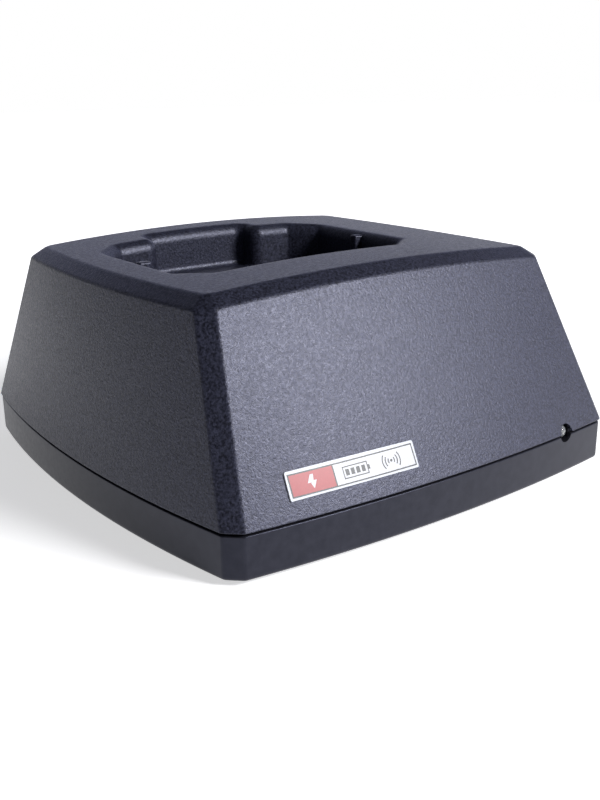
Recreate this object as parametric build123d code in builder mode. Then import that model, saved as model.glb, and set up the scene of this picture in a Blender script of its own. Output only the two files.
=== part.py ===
"""Desktop charging cradle for a handheld two-way radio, as an assembly of its real pieces.

Millimetres, +Z up, origin on the table under the middle of the footprint. The front, with the
badge and the status light, faces -Y.
"""

from build123d import *
import os

os.makedirs("parts", exist_ok=True)

# ---- Outer shell ---------------------------------------------------------------------------
FOOT_PROUD = 1.0          # rubber feet stand this far below the tray
BODY_HEIGHT = 50.0        # tray's lower edge to the highest line of the top face
TRAY_HEIGHT = 9.6         # tray's lower edge to the parting line
BASE_WIDTH = 116.2        # across the middle of the bowed left and right sides
BASE_DEPTH = 117.7        # across the middle of the bowed front and back
BASE_BULGE_X = 5.5        # how far the left and right sides bow out between the corners
BASE_BULGE_Y = 3.5        # the same for front and back
SHOULDER_WIDTH = 96.7     # the same sizes where the bevel starts
SHOULDER_DEPTH = 82.5
SHOULDER_BULGE_X = 2.3
SHOULDER_BULGE_Y = 1.5
SHOULDER_DROP = 2.1       # bevel's lower edge below the top
SHOULDER_BACK = 1.92      # the top sits this far behind the middle of the base
CORNER_CUT = 2.7          # flat on each upright corner
BEVEL_TOP = 2.6           # width of the bevel measured on the top face
BEVEL_SIDE = 2.25         # and on the sloping sides
CROWN_RADIUS = 560.0      # the top face is a shallow cylinder along Y
EDGE_ROUND = 0.5          # soft long edges of the top face
WALL = 2.5
NEAR = 0.1                # how close a point must be to count as on a line
TRAY_FLOOR = 2.4
TRAY_EDGE_ROUND = 1.0

# ---- Joint between cover and tray ----------------------------------------------------------
SEAM_GAP = 0.45
SEAM_STEP = 0.3           # the cover overhangs the tray by this much
SKIRT = 1.2               # thickness of the cover's skirt outside the tongue
TONGUE_RISE = 2.4
TONGUE_CLEARANCE = 0.15

# ---- Pocket for the radio ------------------------------------------------------------------
POCKET_X = -6.6
POCKET_Y = 2.25
POCKET_WIDTH = 60.0
POCKET_LENGTH = 42.0
POCKET_CORNER = 5.7
POCKET_FLOOR_DEPTH = 32.0
POCKET_FLOOR_WALL = 2.2
POCKET_WALL = 2.0
LIP_RADIUS = 2.8
POCKET_ROUND = 1.5
RECESS_WIDTH = 27.4       # clears the radio's belt clip
RECESS_LENGTH = 6.7
RECESS_DEPTH = 10.6
RECESS_MOUTH_ROUND = 3.2
RECESS_FLOOR_ROUND = 1.6  # where the recess's floor meets its back wall
GUIDE_WIDTH = 2.2
GUIDE_REACH = 1.5
GUIDE_TOP_DROP = 1.2
GUIDE_SHIFT = -0.8

# ---- Case screws and feet ------------------------------------------------------------------
BOSS_X = 47.0
BOSS_Y = 46.5
BOSS_RADIUS = 3.6
CASE_SCREW_RADIUS = 1.5
CASE_SCREW_LENGTH = 12.0
CASE_HEAD_RADIUS = 2.8
CASE_HEAD_HEIGHT = 2.2
CASE_HEAD_ROOM = 0.4
CASE_SEAT_HEIGHT = 4.5    # bottom of the tray to the seat of the screw's head
FOOT_RADIUS = 6.0
FOOT_INSET = 7.7          # from the upright corner's flat to the foot's centre
FOOT_SUNK = 0.8
FOOT_ROUND = 0.4
VENT_COUNT = 7
VENT_PITCH = 6.0
VENT_LENGTH = 16.0
VENT_WIDTH = 2.0
VENT_X = 37.0

# ---- Badge and rating label ----------------------------------------------------------------
BADGE_LENGTH = 30.0
BADGE_WIDTH = 5.5
BADGE_THICK = 0.35
BADGE_X = -24.55
BADGE_RISE = 15.45        # badge's middle above the tray's lower edge
RATING_LENGTH = 52.0
RATING_WIDTH = 26.0
RATING_THICK = 0.3
RATING_Y = 6.0

# ---- Circuit board -------------------------------------------------------------------------
BOARD_LEFT = 24.5
BOARD_RIGHT = 50.0
BOARD_HALF = 50.0         # half its length along Y
BOARD_NOTCH_X = 8.0       # both right-hand corners are cut away round the bosses
BOARD_NOTCH_Y = 10.0
BOARD_THICK = 1.6
BOARD_POST_HEIGHT = 4.0
BOARD_POST_RADIUS = 2.6
BOARD_SCREW_INSET = 3.2
SMALL_SCREW_RADIUS = 1.1
SMALL_SCREW_HEAD = 2.1
SMALL_HEAD_HEIGHT = 1.5
SCREW_POINT_GAP = 0.4     # left in a pilot hole beyond a screw's point

# ---- Status light --------------------------------------------------------------------------
LED_X = 36.2
LED_RADIUS = 1.5
LED_LENGTH = 5.2
LED_RECESS = 1.0          # tip behind the outer surface
LED_HOLE_RADIUS = 2.1
LED_FLANGE_RADIUS = 1.9
LED_LEAD_SPACING = 2.54
LED_LEAD_RADIUS = 0.25

# ---- Power inlet ---------------------------------------------------------------------------
INLET_X = 36.5
INLET_WIDTH = 9.0
INLET_HEIGHT = 11.0
INLET_LENGTH = 14.0
INLET_AXIS_RISE = 6.5     # hole's axis above the board
INLET_BORE_RADIUS = 3.15
INLET_BORE_DEPTH = 10.0
INLET_PIN_RADIUS = 1.05
INLET_PIN_LENGTH = 9.0
INLET_WINDOW_GAP = 0.7
INLET_BEHIND = 0.4        # face behind the outer surface at its top edge
INLET_LEAF_WIDTH = 2.0
INLET_LEAF_THICK = 0.3

# ---- Charging contacts ---------------------------------------------------------------------
CONTACT_PITCH = 8.0
CONTACT_Y = 8.0
CONTACT_RADIUS = 1.3
CONTACT_PROUD = 2.5
CONTACT_TRAVEL = 2.0
CONTACT_RUNNING = 0.05    # radial clearance of the pin in its guide
CONTACT_HOLE_GAP = 0.5
COLLAR_RADIUS = 2.2
COLLAR_THICK = 1.0
CHAMBER_GAP = 0.4
BLOCK_WIDTH = 32.0
BLOCK_LENGTH = 10.0
BLOCK_HEIGHT = 7.8
BLOCK_TOP_WALL = 1.5
BRACKET_WIDTH = 50.0
BRACKET_THICK = 2.0
BRACKET_BOSS_X = 20.5
BRACKET_BOSS_RADIUS = 3.0
BRACKET_PILOT_WALL = 1.2  # left above the pilot holes, under the pocket's floor
TAG_THICK = 0.5
TAG_TAIL = 4.2
SPRING_RADIUS = 1.6
SPRING_WIRE = 0.4
SPRING_TURNS = 4
STEM_RADIUS = 0.9
STEM_GAP = 0.3            # left under the stem when a contact is pressed right down
TAIL_WIDTH = 1.6
WIRE_RADIUS = 0.6
WIRE_PITCH = 2.5
WIRE_BEND = 2.4
WIRE_EXIT_RISE = 2.8      # plug's wires above the board
PLUG_LENGTH = 5.5
HEADER_LENGTH = 5.0
HEADER_HEIGHT = 5.5
HEADER_Y = -10.0
HEADER_SETBACK = 1.5      # wire header's edge from the edge of the board
PLUG_HEIGHT = 4.4

# ---- Parts on the board --------------------------------------------------------------------
CAPACITOR_X = 35.0
CAPACITOR_Y = 22.0
CAPACITOR_RADIUS = 6.5
CAPACITOR_HEIGHT = 24.0
SMALL_CAN_RADIUS = 3.15
SMALL_CAN_HEIGHT = 11.0
SMALL_CAN_X = 45.5
SMALL_CANS_Y = [31.0, 22.5, -20.0]
RESISTOR_RADIUS = 1.1
RESISTOR_LENGTH = 6.2
RESISTOR_PITCH = 3.2
RESISTOR_COUNT = 5
DIODE_RADIUS = 1.35
DIODE_LENGTH = 5.2
DIODE_PITCH = 3.9
DIODE_COUNT = 4
FIRST_PART_X = 28.0       # left-hand part in the rows of resistors and diodes
RESISTOR_Y = -36.0
DIODE_Y = 33.8
LEAD_RADIUS = 0.3
CHIP_X = 36.8
CHIP_Y = -21.0
CHIP_WIDTH = 6.4
CHIP_LENGTH = 19.3
CHIP_HEIGHT = 3.3
CHIP_PITCH = 2.54
CHIP_LEGS = 7
CHIP_RISE = 0.6           # underside of the chip above the board
CHIP_MARK_RADIUS = 0.8
SINK_X = 41.5
SINK_Y = 3.0
SINK_PLATE = 2.0
SINK_WIDTH = 22.0
SINK_FIN = 4.5
SINK_FINS = 4
SINK_HEIGHT = 22.0
REGULATOR_RISE = 4.0
REGULATOR_HOLE = 16.5     # screw's height above the board
REGULATOR_WIDTH = 10.0
REGULATOR_TAB_HEIGHT = 15.5
REGULATOR_TAB_THICK = 1.3
REGULATOR_BODY_HEIGHT = 9.0
REGULATOR_BODY_THICK = 3.2
REGULATOR_LEG_PITCH = 2.54
SINK_SCREW_RADIUS = 1.5
SINK_SCREW_HEAD = 2.6
SINK_HEAD_HEIGHT = 1.9
SLOT_WIDTH = 0.7
SLOT_LENGTH = 3.6
SLOT_DEPTH = 0.8

# ---- Worked out from the sizes above -------------------------------------------------------
TRAY_BOTTOM = FOOT_PROUD
PARTING = TRAY_BOTTOM + TRAY_HEIGHT
TOP = TRAY_BOTTOM + BODY_HEIGHT
SHOULDER = TOP - SHOULDER_DROP
INNER_FLOOR = TRAY_BOTTOM + TRAY_FLOOR
POCKET_FLOOR = TOP - POCKET_FLOOR_DEPTH
FLOOR_UNDERSIDE = POCKET_FLOOR - POCKET_FLOOR_WALL
RECESS_FLOOR = TOP - RECESS_DEPTH
BOARD_BOTTOM = INNER_FLOOR + BOARD_POST_HEIGHT
BOARD_TOP = BOARD_BOTTOM + BOARD_THICK
BRACKET_TOP = FLOOR_UNDERSIDE - BLOCK_HEIGHT
CASE_SEAT = TRAY_BOTTOM + CASE_SEAT_HEIGHT
RATING_X = POCKET_X
CORNERS = [(sx, sy) for sx in (-1, 1) for sy in (-1, 1)]
CONTACTS = [POCKET_X - CONTACT_PITCH, POCKET_X, POCKET_X + CONTACT_PITCH]
CONTACT_POINTS = [(x, CONTACT_Y) for x in CONTACTS]
BRACKET_POINTS = [(POCKET_X + side * BRACKET_BOSS_X, CONTACT_Y) for side in (-1, 1)]
CASE_POINTS = [(sx * BOSS_X, sy * BOSS_Y) for sx, sy in CORNERS]
FOOT_X = BASE_WIDTH / 2 - BASE_BULGE_X - FOOT_INSET
FOOT_Y = BASE_DEPTH / 2 - BASE_BULGE_Y - FOOT_INSET
FEET = [(sx * FOOT_X, sy * FOOT_Y) for sx, sy in CORNERS]
FOOT_NAMES = ["foot_front_left", "foot_back_left", "foot_front_right", "foot_back_right"]
BOARD_SCREWS = [
    (x, sy * y)
    for sy in (-1, 1)
    for x, y in (
        (BOARD_LEFT + BOARD_SCREW_INSET, BOARD_HALF - BOARD_SCREW_INSET),
        (BOARD_RIGHT - BOARD_SCREW_INSET, BOARD_HALF - BOARD_NOTCH_Y - BOARD_SCREW_INSET),
    )
]
INLET_AXIS = BOARD_TOP + INLET_AXIS_RISE
WIRE_EXIT = BOARD_TOP + WIRE_EXIT_RISE
SPRING_BOTTOM = BRACKET_TOP + TAG_THICK
SPRING_TOP = FLOOR_UNDERSIDE - BLOCK_TOP_WALL - COLLAR_THICK
STEM_LENGTH = SPRING_TOP - SPRING_BOTTOM - CONTACT_TRAVEL - STEM_GAP
BOARD_SCREWS_TURNED = [(x, -y) for x, y in BOARD_SCREWS]
BOARD_SCREW_LENGTH = BOARD_THICK + BOARD_POST_HEIGHT - SCREW_POINT_GAP
BRACKET_PILOT = BLOCK_HEIGHT - BRACKET_PILOT_WALL
BRACKET_SCREW_LENGTH = BRACKET_THICK + BRACKET_PILOT - SCREW_POINT_GAP


def mix(base, shoulder, z):
    """A size of the sloping cover at height z, straight between parting line and shoulder."""
    return base + (shoulder - base) * (z - PARTING) / (SHOULDER - PARTING)


def shell_sizes(z):
    """Half width, half depth, both bulges and the backward shift of the cover at height z."""
    return (
        mix(BASE_WIDTH, SHOULDER_WIDTH, z) / 2,
        mix(BASE_DEPTH, SHOULDER_DEPTH, z) / 2,
        mix(BASE_BULGE_X, SHOULDER_BULGE_X, z),
        mix(BASE_BULGE_Y, SHOULDER_BULGE_Y, z),
        mix(0, SHOULDER_BACK, z),
    )


def bowed_outline(half_x, half_y, bulge_x, bulge_y, shift, inset):
    """A rectangle with four bowed sides and cut corners, drawn in by inset."""
    cut = max(CORNER_CUT - 0.586 * inset, 0.4)
    corner_x = half_x - bulge_x - inset
    corner_y = half_y - bulge_y - inset
    side_x = half_x - inset - bulge_x * ((corner_y - cut) / corner_y) ** 2
    side_y = half_y - inset - bulge_y * ((corner_x - cut) / corner_x) ** 2
    near_x = corner_x - cut
    near_y = corner_y - cut
    with BuildSketch() as outline:
        with BuildLine():
            ThreePointArc((side_x, -near_y), (half_x - inset, 0), (side_x, near_y))
            Line((side_x, near_y), (near_x, side_y))
            ThreePointArc((near_x, side_y), (0, half_y - inset), (-near_x, side_y))
            Line((-near_x, side_y), (-side_x, near_y))
            ThreePointArc((-side_x, near_y), (inset - half_x, 0), (-side_x, -near_y))
            Line((-side_x, -near_y), (-near_x, -side_y))
            ThreePointArc((-near_x, -side_y), (0, inset - half_y), (near_x, -side_y))
            Line((near_x, -side_y), (side_x, -near_y))
        make_face()
    return outline.sketch.moved(Location((0, shift, 0)))


def sloped_block(bottom, top, inset):
    """The cover's outer form between two heights, drawn in by inset."""
    with BuildPart() as block:
        for z in (bottom, top):
            with BuildSketch(Plane.XY.offset(z)):
                add(bowed_outline(*shell_sizes(z), inset))
        loft(ruled=True)
    return block.part


def straight_block(bottom, top, inset):
    """The tray's outer form between two heights, drawn in by inset."""
    with BuildPart() as block:
        with BuildSketch(Plane.XY.offset(bottom)):
            add(bowed_outline(*shell_sizes(PARTING), inset + SEAM_STEP))
        extrude(amount=top - bottom)
    return block.part


def under_crown(z):
    """Everything below a shallow cylinder whose highest line is at height z."""
    half = BASE_WIDTH
    drop = half**2 / (2 * CROWN_RADIUS)
    with BuildPart() as block:
        with BuildSketch(Plane.XZ):
            with BuildLine():
                ThreePointArc((-half, z - drop), (0, z), (half, z - drop))
                Line((half, z - drop), (half, -1))
                Line((half, -1), (-half, -1))
                Line((-half, -1), (-half, z - drop))
            make_face()
        extrude(amount=BASE_DEPTH, both=True)
    return block.part


def pocket_outline(grow):
    """The pocket with its four cut corners, grown by a wall."""
    with BuildSketch() as outline:
        with Locations((POCKET_X, POCKET_Y)):
            Rectangle(POCKET_WIDTH + 2 * grow, POCKET_LENGTH + 2 * grow)
        chamfer(outline.vertices(), length=POCKET_CORNER + 0.586 * grow)
        fillet(outline.vertices(), radius=POCKET_ROUND)
    return outline.sketch


def mouth_outline(grow):
    """The pocket together with the belt clip's recess behind it, grown by a wall."""
    reach = POCKET_LENGTH / 2 + RECESS_LENGTH + grow
    with BuildSketch() as outline:
        add(pocket_outline(grow))
        with Locations((POCKET_X, POCKET_Y + reach / 2)):
            Rectangle(RECESS_WIDTH + 2 * grow, reach)
        mouth_y = POCKET_Y + POCKET_LENGTH / 2 + grow
        mouth_x = RECESS_WIDTH / 2 + grow + NEAR
        on_wall = outline.vertices().filter_by(lambda vertex: abs(vertex.Y - mouth_y) < NEAR)
        at_mouth = on_wall.filter_by(lambda vertex: abs(vertex.X - POCKET_X) < mouth_x)
        fillet(at_mouth, radius=RECESS_MOUTH_ROUND)
    return outline.sketch


def tongue_ring(bottom, top, outer_inset, inner_inset):
    """A sloping ring that follows the cover's wall between two heights."""
    with BuildPart() as ring:
        add(sloped_block(bottom, top, outer_inset))
        add(sloped_block(bottom, top, inner_inset), mode=Mode.SUBTRACT)
    return ring.part


def inlet_window(bottom):
    """The opening through the back wall that clears the power inlet, from height bottom up."""
    half = INLET_WIDTH / 2 + INLET_WINDOW_GAP
    top = BOARD_TOP + INLET_HEIGHT + INLET_WINDOW_GAP
    with BuildPart() as window:
        with BuildSketch(Plane.XZ.offset(-BASE_DEPTH / 2 - 5)):
            with Locations((INLET_X, (bottom + top) / 2)):
                Rectangle(2 * half, top - bottom)
        extrude(amount=20)
    return window.part


def front_surface(x, z):
    """Y of the cover's bowed, sloping front at a place."""
    half_x, half_y, bulge_x, bulge_y, shift = shell_sizes(z)
    return shift - half_y + bulge_y * (x / (half_x - bulge_x)) ** 2


def back_surface(x, z):
    """Y of the cover's bowed, sloping back at a place."""
    half_x, half_y, bulge_x, bulge_y, shift = shell_sizes(z)
    return shift + half_y - bulge_y * (x / (half_x - bulge_x)) ** 2


INLET_FACE = back_surface(INLET_X, BOARD_TOP + INLET_HEIGHT) - INLET_BEHIND
LED_BASE_Y = front_surface(LED_X, PARTING) + LED_RECESS + LED_LENGTH

# ---- Cover ---------------------------------------------------------------------------------
# The hollow inside the cover leaves the pocket's bucket and all the screw bosses standing.
with BuildPart() as hollow:
    add(sloped_block(PARTING - 1, TOP, WALL))
    add(under_crown(TOP - WALL), mode=Mode.INTERSECT)
    with BuildSketch(Plane.XY.offset(FLOOR_UNDERSIDE)):
        add(pocket_outline(POCKET_WALL))
    extrude(amount=POCKET_FLOOR_DEPTH + POCKET_FLOOR_WALL, mode=Mode.SUBTRACT)
    with BuildSketch(Plane.XY.offset(RECESS_FLOOR - POCKET_FLOOR_WALL)):
        add(mouth_outline(POCKET_WALL))
    extrude(amount=RECESS_DEPTH + POCKET_FLOOR_WALL, mode=Mode.SUBTRACT)
    with BuildSketch(Plane.XY.offset(PARTING)):
        with Locations(CASE_POINTS):
            Circle(BOSS_RADIUS)
    extrude(amount=BODY_HEIGHT, mode=Mode.SUBTRACT)
    with BuildSketch(Plane.XY.offset(BRACKET_TOP)):
        with Locations(BRACKET_POINTS):
            Circle(BRACKET_BOSS_RADIUS)
    extrude(amount=BLOCK_HEIGHT + POCKET_FLOOR_WALL, mode=Mode.SUBTRACT)

with BuildPart() as cover:
    add(sloped_block(PARTING, TOP + 3, 0))
    add(under_crown(TOP), mode=Mode.INTERSECT)
    top_face = cover.faces().sort_by(Axis.Z)[-1]
    chamfer(top_face.edges(), length=BEVEL_TOP, length2=BEVEL_SIDE, reference=top_face)
    top_edges = cover.faces().sort_by(Axis.Z)[-1].edges()
    fillet(top_edges.filter_by(lambda edge: edge.length > SHOULDER_DEPTH / 2), radius=EDGE_ROUND)
    # The pocket and the clip recess, with one rolled lip all round their mouth.
    with BuildSketch(Plane.XY.offset(POCKET_FLOOR)):
        add(pocket_outline(0))
    extrude(amount=POCKET_FLOOR_DEPTH + 3, mode=Mode.SUBTRACT)
    with BuildSketch(Plane.XY.offset(RECESS_FLOOR)):
        add(mouth_outline(0))
    extrude(amount=RECESS_DEPTH + 3, mode=Mode.SUBTRACT)
    crown_face = cover.faces().filter_by(GeomType.CYLINDER).sort_by(Axis.Z)[-1]
    fillet(crown_face.inner_wires()[0].edges(), radius=LIP_RADIUS)
    recess_back = POCKET_Y + POCKET_LENGTH / 2 + RECESS_LENGTH
    floor_edges = cover.edges().filter_by(lambda edge: abs(edge.center().Z - RECESS_FLOOR) < NEAR)
    back_edges = floor_edges.filter_by(lambda edge: abs(edge.center().Y - recess_back) < NEAR)
    fillet(back_edges, radius=RECESS_FLOOR_ROUND)
    # A guide rib half way along each short side of the pocket.
    with BuildSketch(Plane.XY.offset(POCKET_FLOOR)):
        with Locations([(POCKET_X + sx * POCKET_WIDTH / 2, POCKET_Y + GUIDE_SHIFT) for sx in (-1, 1)]):
            Rectangle(2 * GUIDE_REACH, GUIDE_WIDTH)
    extrude(amount=POCKET_FLOOR_DEPTH - GUIDE_TOP_DROP)
    add(hollow.part, mode=Mode.SUBTRACT)
    # Rebate for the tray's tongue.
    rebate_top = PARTING + TONGUE_RISE + TONGUE_CLEARANCE
    add(tongue_ring(PARTING - 1, rebate_top, SKIRT, WALL + 0.5), mode=Mode.SUBTRACT)
    # Holes for the case screws, the bracket's screws and the contacts.
    with BuildSketch(Plane.XY.offset(PARTING)):
        with Locations(CASE_POINTS):
            Circle(CASE_SCREW_RADIUS)
    extrude(amount=CASE_SCREW_LENGTH - (PARTING - CASE_SEAT) + 1, mode=Mode.SUBTRACT)
    with BuildSketch(Plane.XY.offset(BRACKET_TOP)):
        with Locations(BRACKET_POINTS):
            Circle(SMALL_SCREW_RADIUS)
    extrude(amount=BRACKET_PILOT, mode=Mode.SUBTRACT)
    with BuildSketch(Plane.XY.offset(FLOOR_UNDERSIDE - 1)):
        with Locations(CONTACT_POINTS):
            Circle(CONTACT_RADIUS + CONTACT_HOLE_GAP)
    extrude(amount=POCKET_FLOOR_WALL + 2, mode=Mode.SUBTRACT)
    # Hole for the status light and window for the power inlet.
    with BuildSketch(Plane.XZ.offset(BASE_DEPTH / 2 - 10)):
        with Locations((LED_X, PARTING)):
            Circle(LED_HOLE_RADIUS)
    extrude(amount=20, mode=Mode.SUBTRACT)
    add(inlet_window(0), mode=Mode.SUBTRACT)
cover.part.label = "cover"
export_step(cover.part, "parts/cover.step")

# ---- Tray ----------------------------------------------------------------------------------
with BuildPart() as base_tray:
    add(straight_block(TRAY_BOTTOM, PARTING - SEAM_GAP, 0))
    fillet(base_tray.faces().sort_by(Axis.Z)[0].edges(), radius=TRAY_EDGE_ROUND)
    add(straight_block(INNER_FLOOR, PARTING, WALL - SEAM_STEP), mode=Mode.SUBTRACT)
    add(tongue_ring(PARTING - SEAM_GAP, PARTING + TONGUE_RISE, SKIRT + TONGUE_CLEARANCE, WALL))
    # Posts for the case screws and for the circuit board.
    with BuildSketch(Plane.XY.offset(INNER_FLOOR)):
        with Locations(CASE_POINTS):
            Circle(BOSS_RADIUS)
    extrude(amount=PARTING - INNER_FLOOR)
    with BuildSketch(Plane.XY.offset(INNER_FLOOR)):
        with Locations(BOARD_SCREWS):
            Circle(BOARD_POST_RADIUS)
    extrude(amount=BOARD_POST_HEIGHT)
    with BuildSketch(Plane.XY.offset(TRAY_BOTTOM)):
        with Locations(CASE_POINTS):
            Circle(CASE_SCREW_RADIUS + 0.2)
    extrude(amount=PARTING - TRAY_BOTTOM, mode=Mode.SUBTRACT)
    with BuildSketch(Plane.XY.offset(TRAY_BOTTOM)):
        with Locations(CASE_POINTS):
            Circle(CASE_HEAD_RADIUS + CASE_HEAD_ROOM)
    extrude(amount=CASE_SEAT_HEIGHT, mode=Mode.SUBTRACT)
    with BuildSketch(Plane.XY.offset(INNER_FLOOR)):
        with Locations(BOARD_SCREWS):
            Circle(SMALL_SCREW_RADIUS)
    extrude(amount=BOARD_POST_HEIGHT, mode=Mode.SUBTRACT)
    # Seats for the feet and the rating label, and slots that let air in below the board.
    with BuildSketch(Plane.XY.offset(TRAY_BOTTOM)):
        with Locations(FEET):
            Circle(FOOT_RADIUS)
    extrude(amount=FOOT_SUNK, mode=Mode.SUBTRACT)
    with BuildSketch(Plane.XY.offset(TRAY_BOTTOM)):
        with Locations((RATING_X, RATING_Y)):
            RectangleRounded(RATING_LENGTH + 0.4, RATING_WIDTH + 0.4, 1.2)
    extrude(amount=RATING_THICK, mode=Mode.SUBTRACT)
    with BuildSketch(Plane.XY.offset(TRAY_BOTTOM)):
        with GridLocations(0, VENT_PITCH, 1, VENT_COUNT):
            with Locations((VENT_X, 0)):
                SlotOverall(VENT_LENGTH, VENT_WIDTH)
    extrude(amount=TRAY_FLOOR, mode=Mode.SUBTRACT)
    with BuildSketch(Plane.XZ.offset(BASE_DEPTH / 2 - 10)):
        with Locations((LED_X, PARTING)):
            Circle(LED_HOLE_RADIUS)
    extrude(amount=20, mode=Mode.SUBTRACT)
    add(inlet_window(PARTING - SEAM_GAP), mode=Mode.SUBTRACT)
base_tray.part.label = "base_tray"
export_step(base_tray.part, "parts/base_tray.step")

# ---- Feet ----------------------------------------------------------------------------------
for name, (foot_x, foot_y) in zip(FOOT_NAMES, FEET):
    with BuildPart() as foot:
        with BuildSketch():
            with Locations((foot_x, foot_y)):
                Circle(FOOT_RADIUS - 0.1)
        extrude(amount=FOOT_PROUD + FOOT_SUNK)
        fillet(foot.edges().group_by(Axis.Z)[0], radius=FOOT_ROUND)
    foot.part.label = name
    export_step(foot.part, f"parts/{name}.step")


def pan_screw(seat, length, shank, head, head_height, points):
    """Screws whose heads hang below height seat, one at each point, as a group of solids."""
    with BuildPart() as screws:
        with BuildSketch(Plane.XY.offset(seat)):
            with Locations(points):
                Circle(head)
        extrude(amount=-head_height)
        fillet(screws.edges().group_by(Axis.Z)[0], radius=0.35 * head_height)
        with BuildSketch(Plane.XY.offset(seat - head_height)):
            with Locations(points):
                Rectangle(1.5 * head, 0.3 * head)
                Rectangle(0.3 * head, 1.5 * head)
        extrude(amount=0.45 * head_height, mode=Mode.SUBTRACT)
        with BuildSketch(Plane.XY.offset(seat)):
            with Locations(points):
                Circle(shank)
        extrude(amount=length)
        chamfer(screws.edges().group_by(Axis.Z)[-1], length=0.3 * shank)
    return screws.part


# ---- Fasteners -----------------------------------------------------------------------------
case_screws = pan_screw(
    CASE_SEAT, CASE_SCREW_LENGTH, CASE_SCREW_RADIUS, CASE_HEAD_RADIUS, CASE_HEAD_HEIGHT,
    CASE_POINTS,
)
case_screws.label = "case_screws"
export_step(case_screws, "parts/case_screws.step")

bracket_screws = pan_screw(
    BRACKET_TOP - BRACKET_THICK, BRACKET_SCREW_LENGTH, SMALL_SCREW_RADIUS, SMALL_SCREW_HEAD,
    SMALL_HEAD_HEIGHT,
    BRACKET_POINTS,
)
bracket_screws.label = "bracket_screws"
export_step(bracket_screws, "parts/bracket_screws.step")

board_screws = pan_screw(
    -BOARD_TOP, BOARD_SCREW_LENGTH, SMALL_SCREW_RADIUS, SMALL_SCREW_HEAD, SMALL_HEAD_HEIGHT,
    BOARD_SCREWS_TURNED,
)
board_screws = board_screws.rotate(Axis.X, 180)
board_screws.label = "board_screws"
export_step(board_screws, "parts/board_screws.step")

# ---- Badge and rating label ----------------------------------------------------------------
badge_z = TRAY_BOTTOM + BADGE_RISE
badge_normal = Vector(0, -(SHOULDER - PARTING), front_surface(0, SHOULDER) - front_surface(0, PARTING))
badge_slope = (front_surface(BADGE_X + 1, badge_z) - front_surface(BADGE_X - 1, badge_z)) / 2
badge_plane = Plane(
    origin=(BADGE_X, front_surface(BADGE_X, badge_z), badge_z),
    x_dir=(1, badge_slope, 0),
    z_dir=badge_normal.normalized() + Vector(badge_slope, 0, 0),
)
with BuildPart() as badge_plate:
    add(sloped_block(PARTING, SHOULDER, -BADGE_THICK))
    add(sloped_block(PARTING - 1, SHOULDER + 1, 0), mode=Mode.SUBTRACT)
    with BuildSketch(badge_plane):
        RectangleRounded(BADGE_LENGTH, BADGE_WIDTH, 0.4)
    extrude(amount=3, both=True, mode=Mode.INTERSECT)
badge_plate.part.label = "badge_plate"
export_step(badge_plate.part, "parts/badge_plate.step")

with BuildPart() as rating_label:
    with BuildSketch(Plane.XY.offset(TRAY_BOTTOM)):
        with Locations((RATING_X, RATING_Y)):
            RectangleRounded(RATING_LENGTH, RATING_WIDTH, 1.0)
    extrude(amount=RATING_THICK)
rating_label.part.label = "rating_label"
export_step(rating_label.part, "parts/rating_label.step")

# ---- Circuit board -------------------------------------------------------------------------
with BuildPart() as main_board:
    with BuildSketch(Plane.XY.offset(BOARD_BOTTOM)):
        with Locations(((BOARD_LEFT + BOARD_RIGHT) / 2, 0)):
            Rectangle(BOARD_RIGHT - BOARD_LEFT, 2 * BOARD_HALF)
        with Locations([(BOARD_RIGHT, BOARD_HALF), (BOARD_RIGHT, -BOARD_HALF)]):
            Rectangle(2 * BOARD_NOTCH_X, 2 * BOARD_NOTCH_Y, mode=Mode.SUBTRACT)
        with Locations(BOARD_SCREWS):
            Circle(SMALL_SCREW_RADIUS + 0.15, mode=Mode.SUBTRACT)
    extrude(amount=BOARD_THICK)
main_board.part.label = "main_board"
export_step(main_board.part, "parts/main_board.step")

# ---- Power inlet ---------------------------------------------------------------------------
with BuildPart() as inlet_body:
    with BuildSketch(Plane.XZ.offset(-INLET_FACE)):
        with Locations((INLET_X, BOARD_TOP + INLET_HEIGHT / 2)):
            RectangleRounded(INLET_WIDTH, INLET_HEIGHT, 0.6)
    extrude(amount=INLET_LENGTH)
    with BuildSketch(Plane.XZ.offset(-INLET_FACE)):
        with Locations((INLET_X, INLET_AXIS)):
            Circle(INLET_BORE_RADIUS)
    extrude(amount=INLET_BORE_DEPTH, mode=Mode.SUBTRACT)
    with BuildSketch(Plane.XZ.offset(-INLET_FACE + 1)):
        with Locations((INLET_X, INLET_AXIS - INLET_BORE_RADIUS)):
            Rectangle(INLET_LEAF_WIDTH + 0.2, 3 * INLET_LEAF_THICK)
    extrude(amount=INLET_BORE_DEPTH - 1, mode=Mode.SUBTRACT)
inlet_body.part.label = "inlet_body"
export_step(inlet_body.part, "parts/inlet_body.step")

with BuildPart() as inlet_pin:
    with BuildSketch(Plane.XZ.offset(INLET_BORE_DEPTH - INLET_FACE)):
        with Locations((INLET_X, INLET_AXIS)):
            Circle(INLET_PIN_RADIUS)
    extrude(amount=-INLET_PIN_LENGTH)
    chamfer(inlet_pin.edges().group_by(Axis.Y)[-1], length=0.4)
inlet_pin.part.label = "inlet_pin"
export_step(inlet_pin.part, "parts/inlet_pin.step")

with BuildPart() as inlet_leaf:
    with BuildSketch(Plane.XZ.offset(-INLET_FACE + 1.1)):
        with Locations((INLET_X, INLET_AXIS - INLET_BORE_RADIUS - INLET_LEAF_THICK)):
            Rectangle(INLET_LEAF_WIDTH, INLET_LEAF_THICK)
    extrude(amount=INLET_BORE_DEPTH - 1.2)
inlet_leaf.part.label = "inlet_leaf"
export_step(inlet_leaf.part, "parts/inlet_leaf.step")


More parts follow.
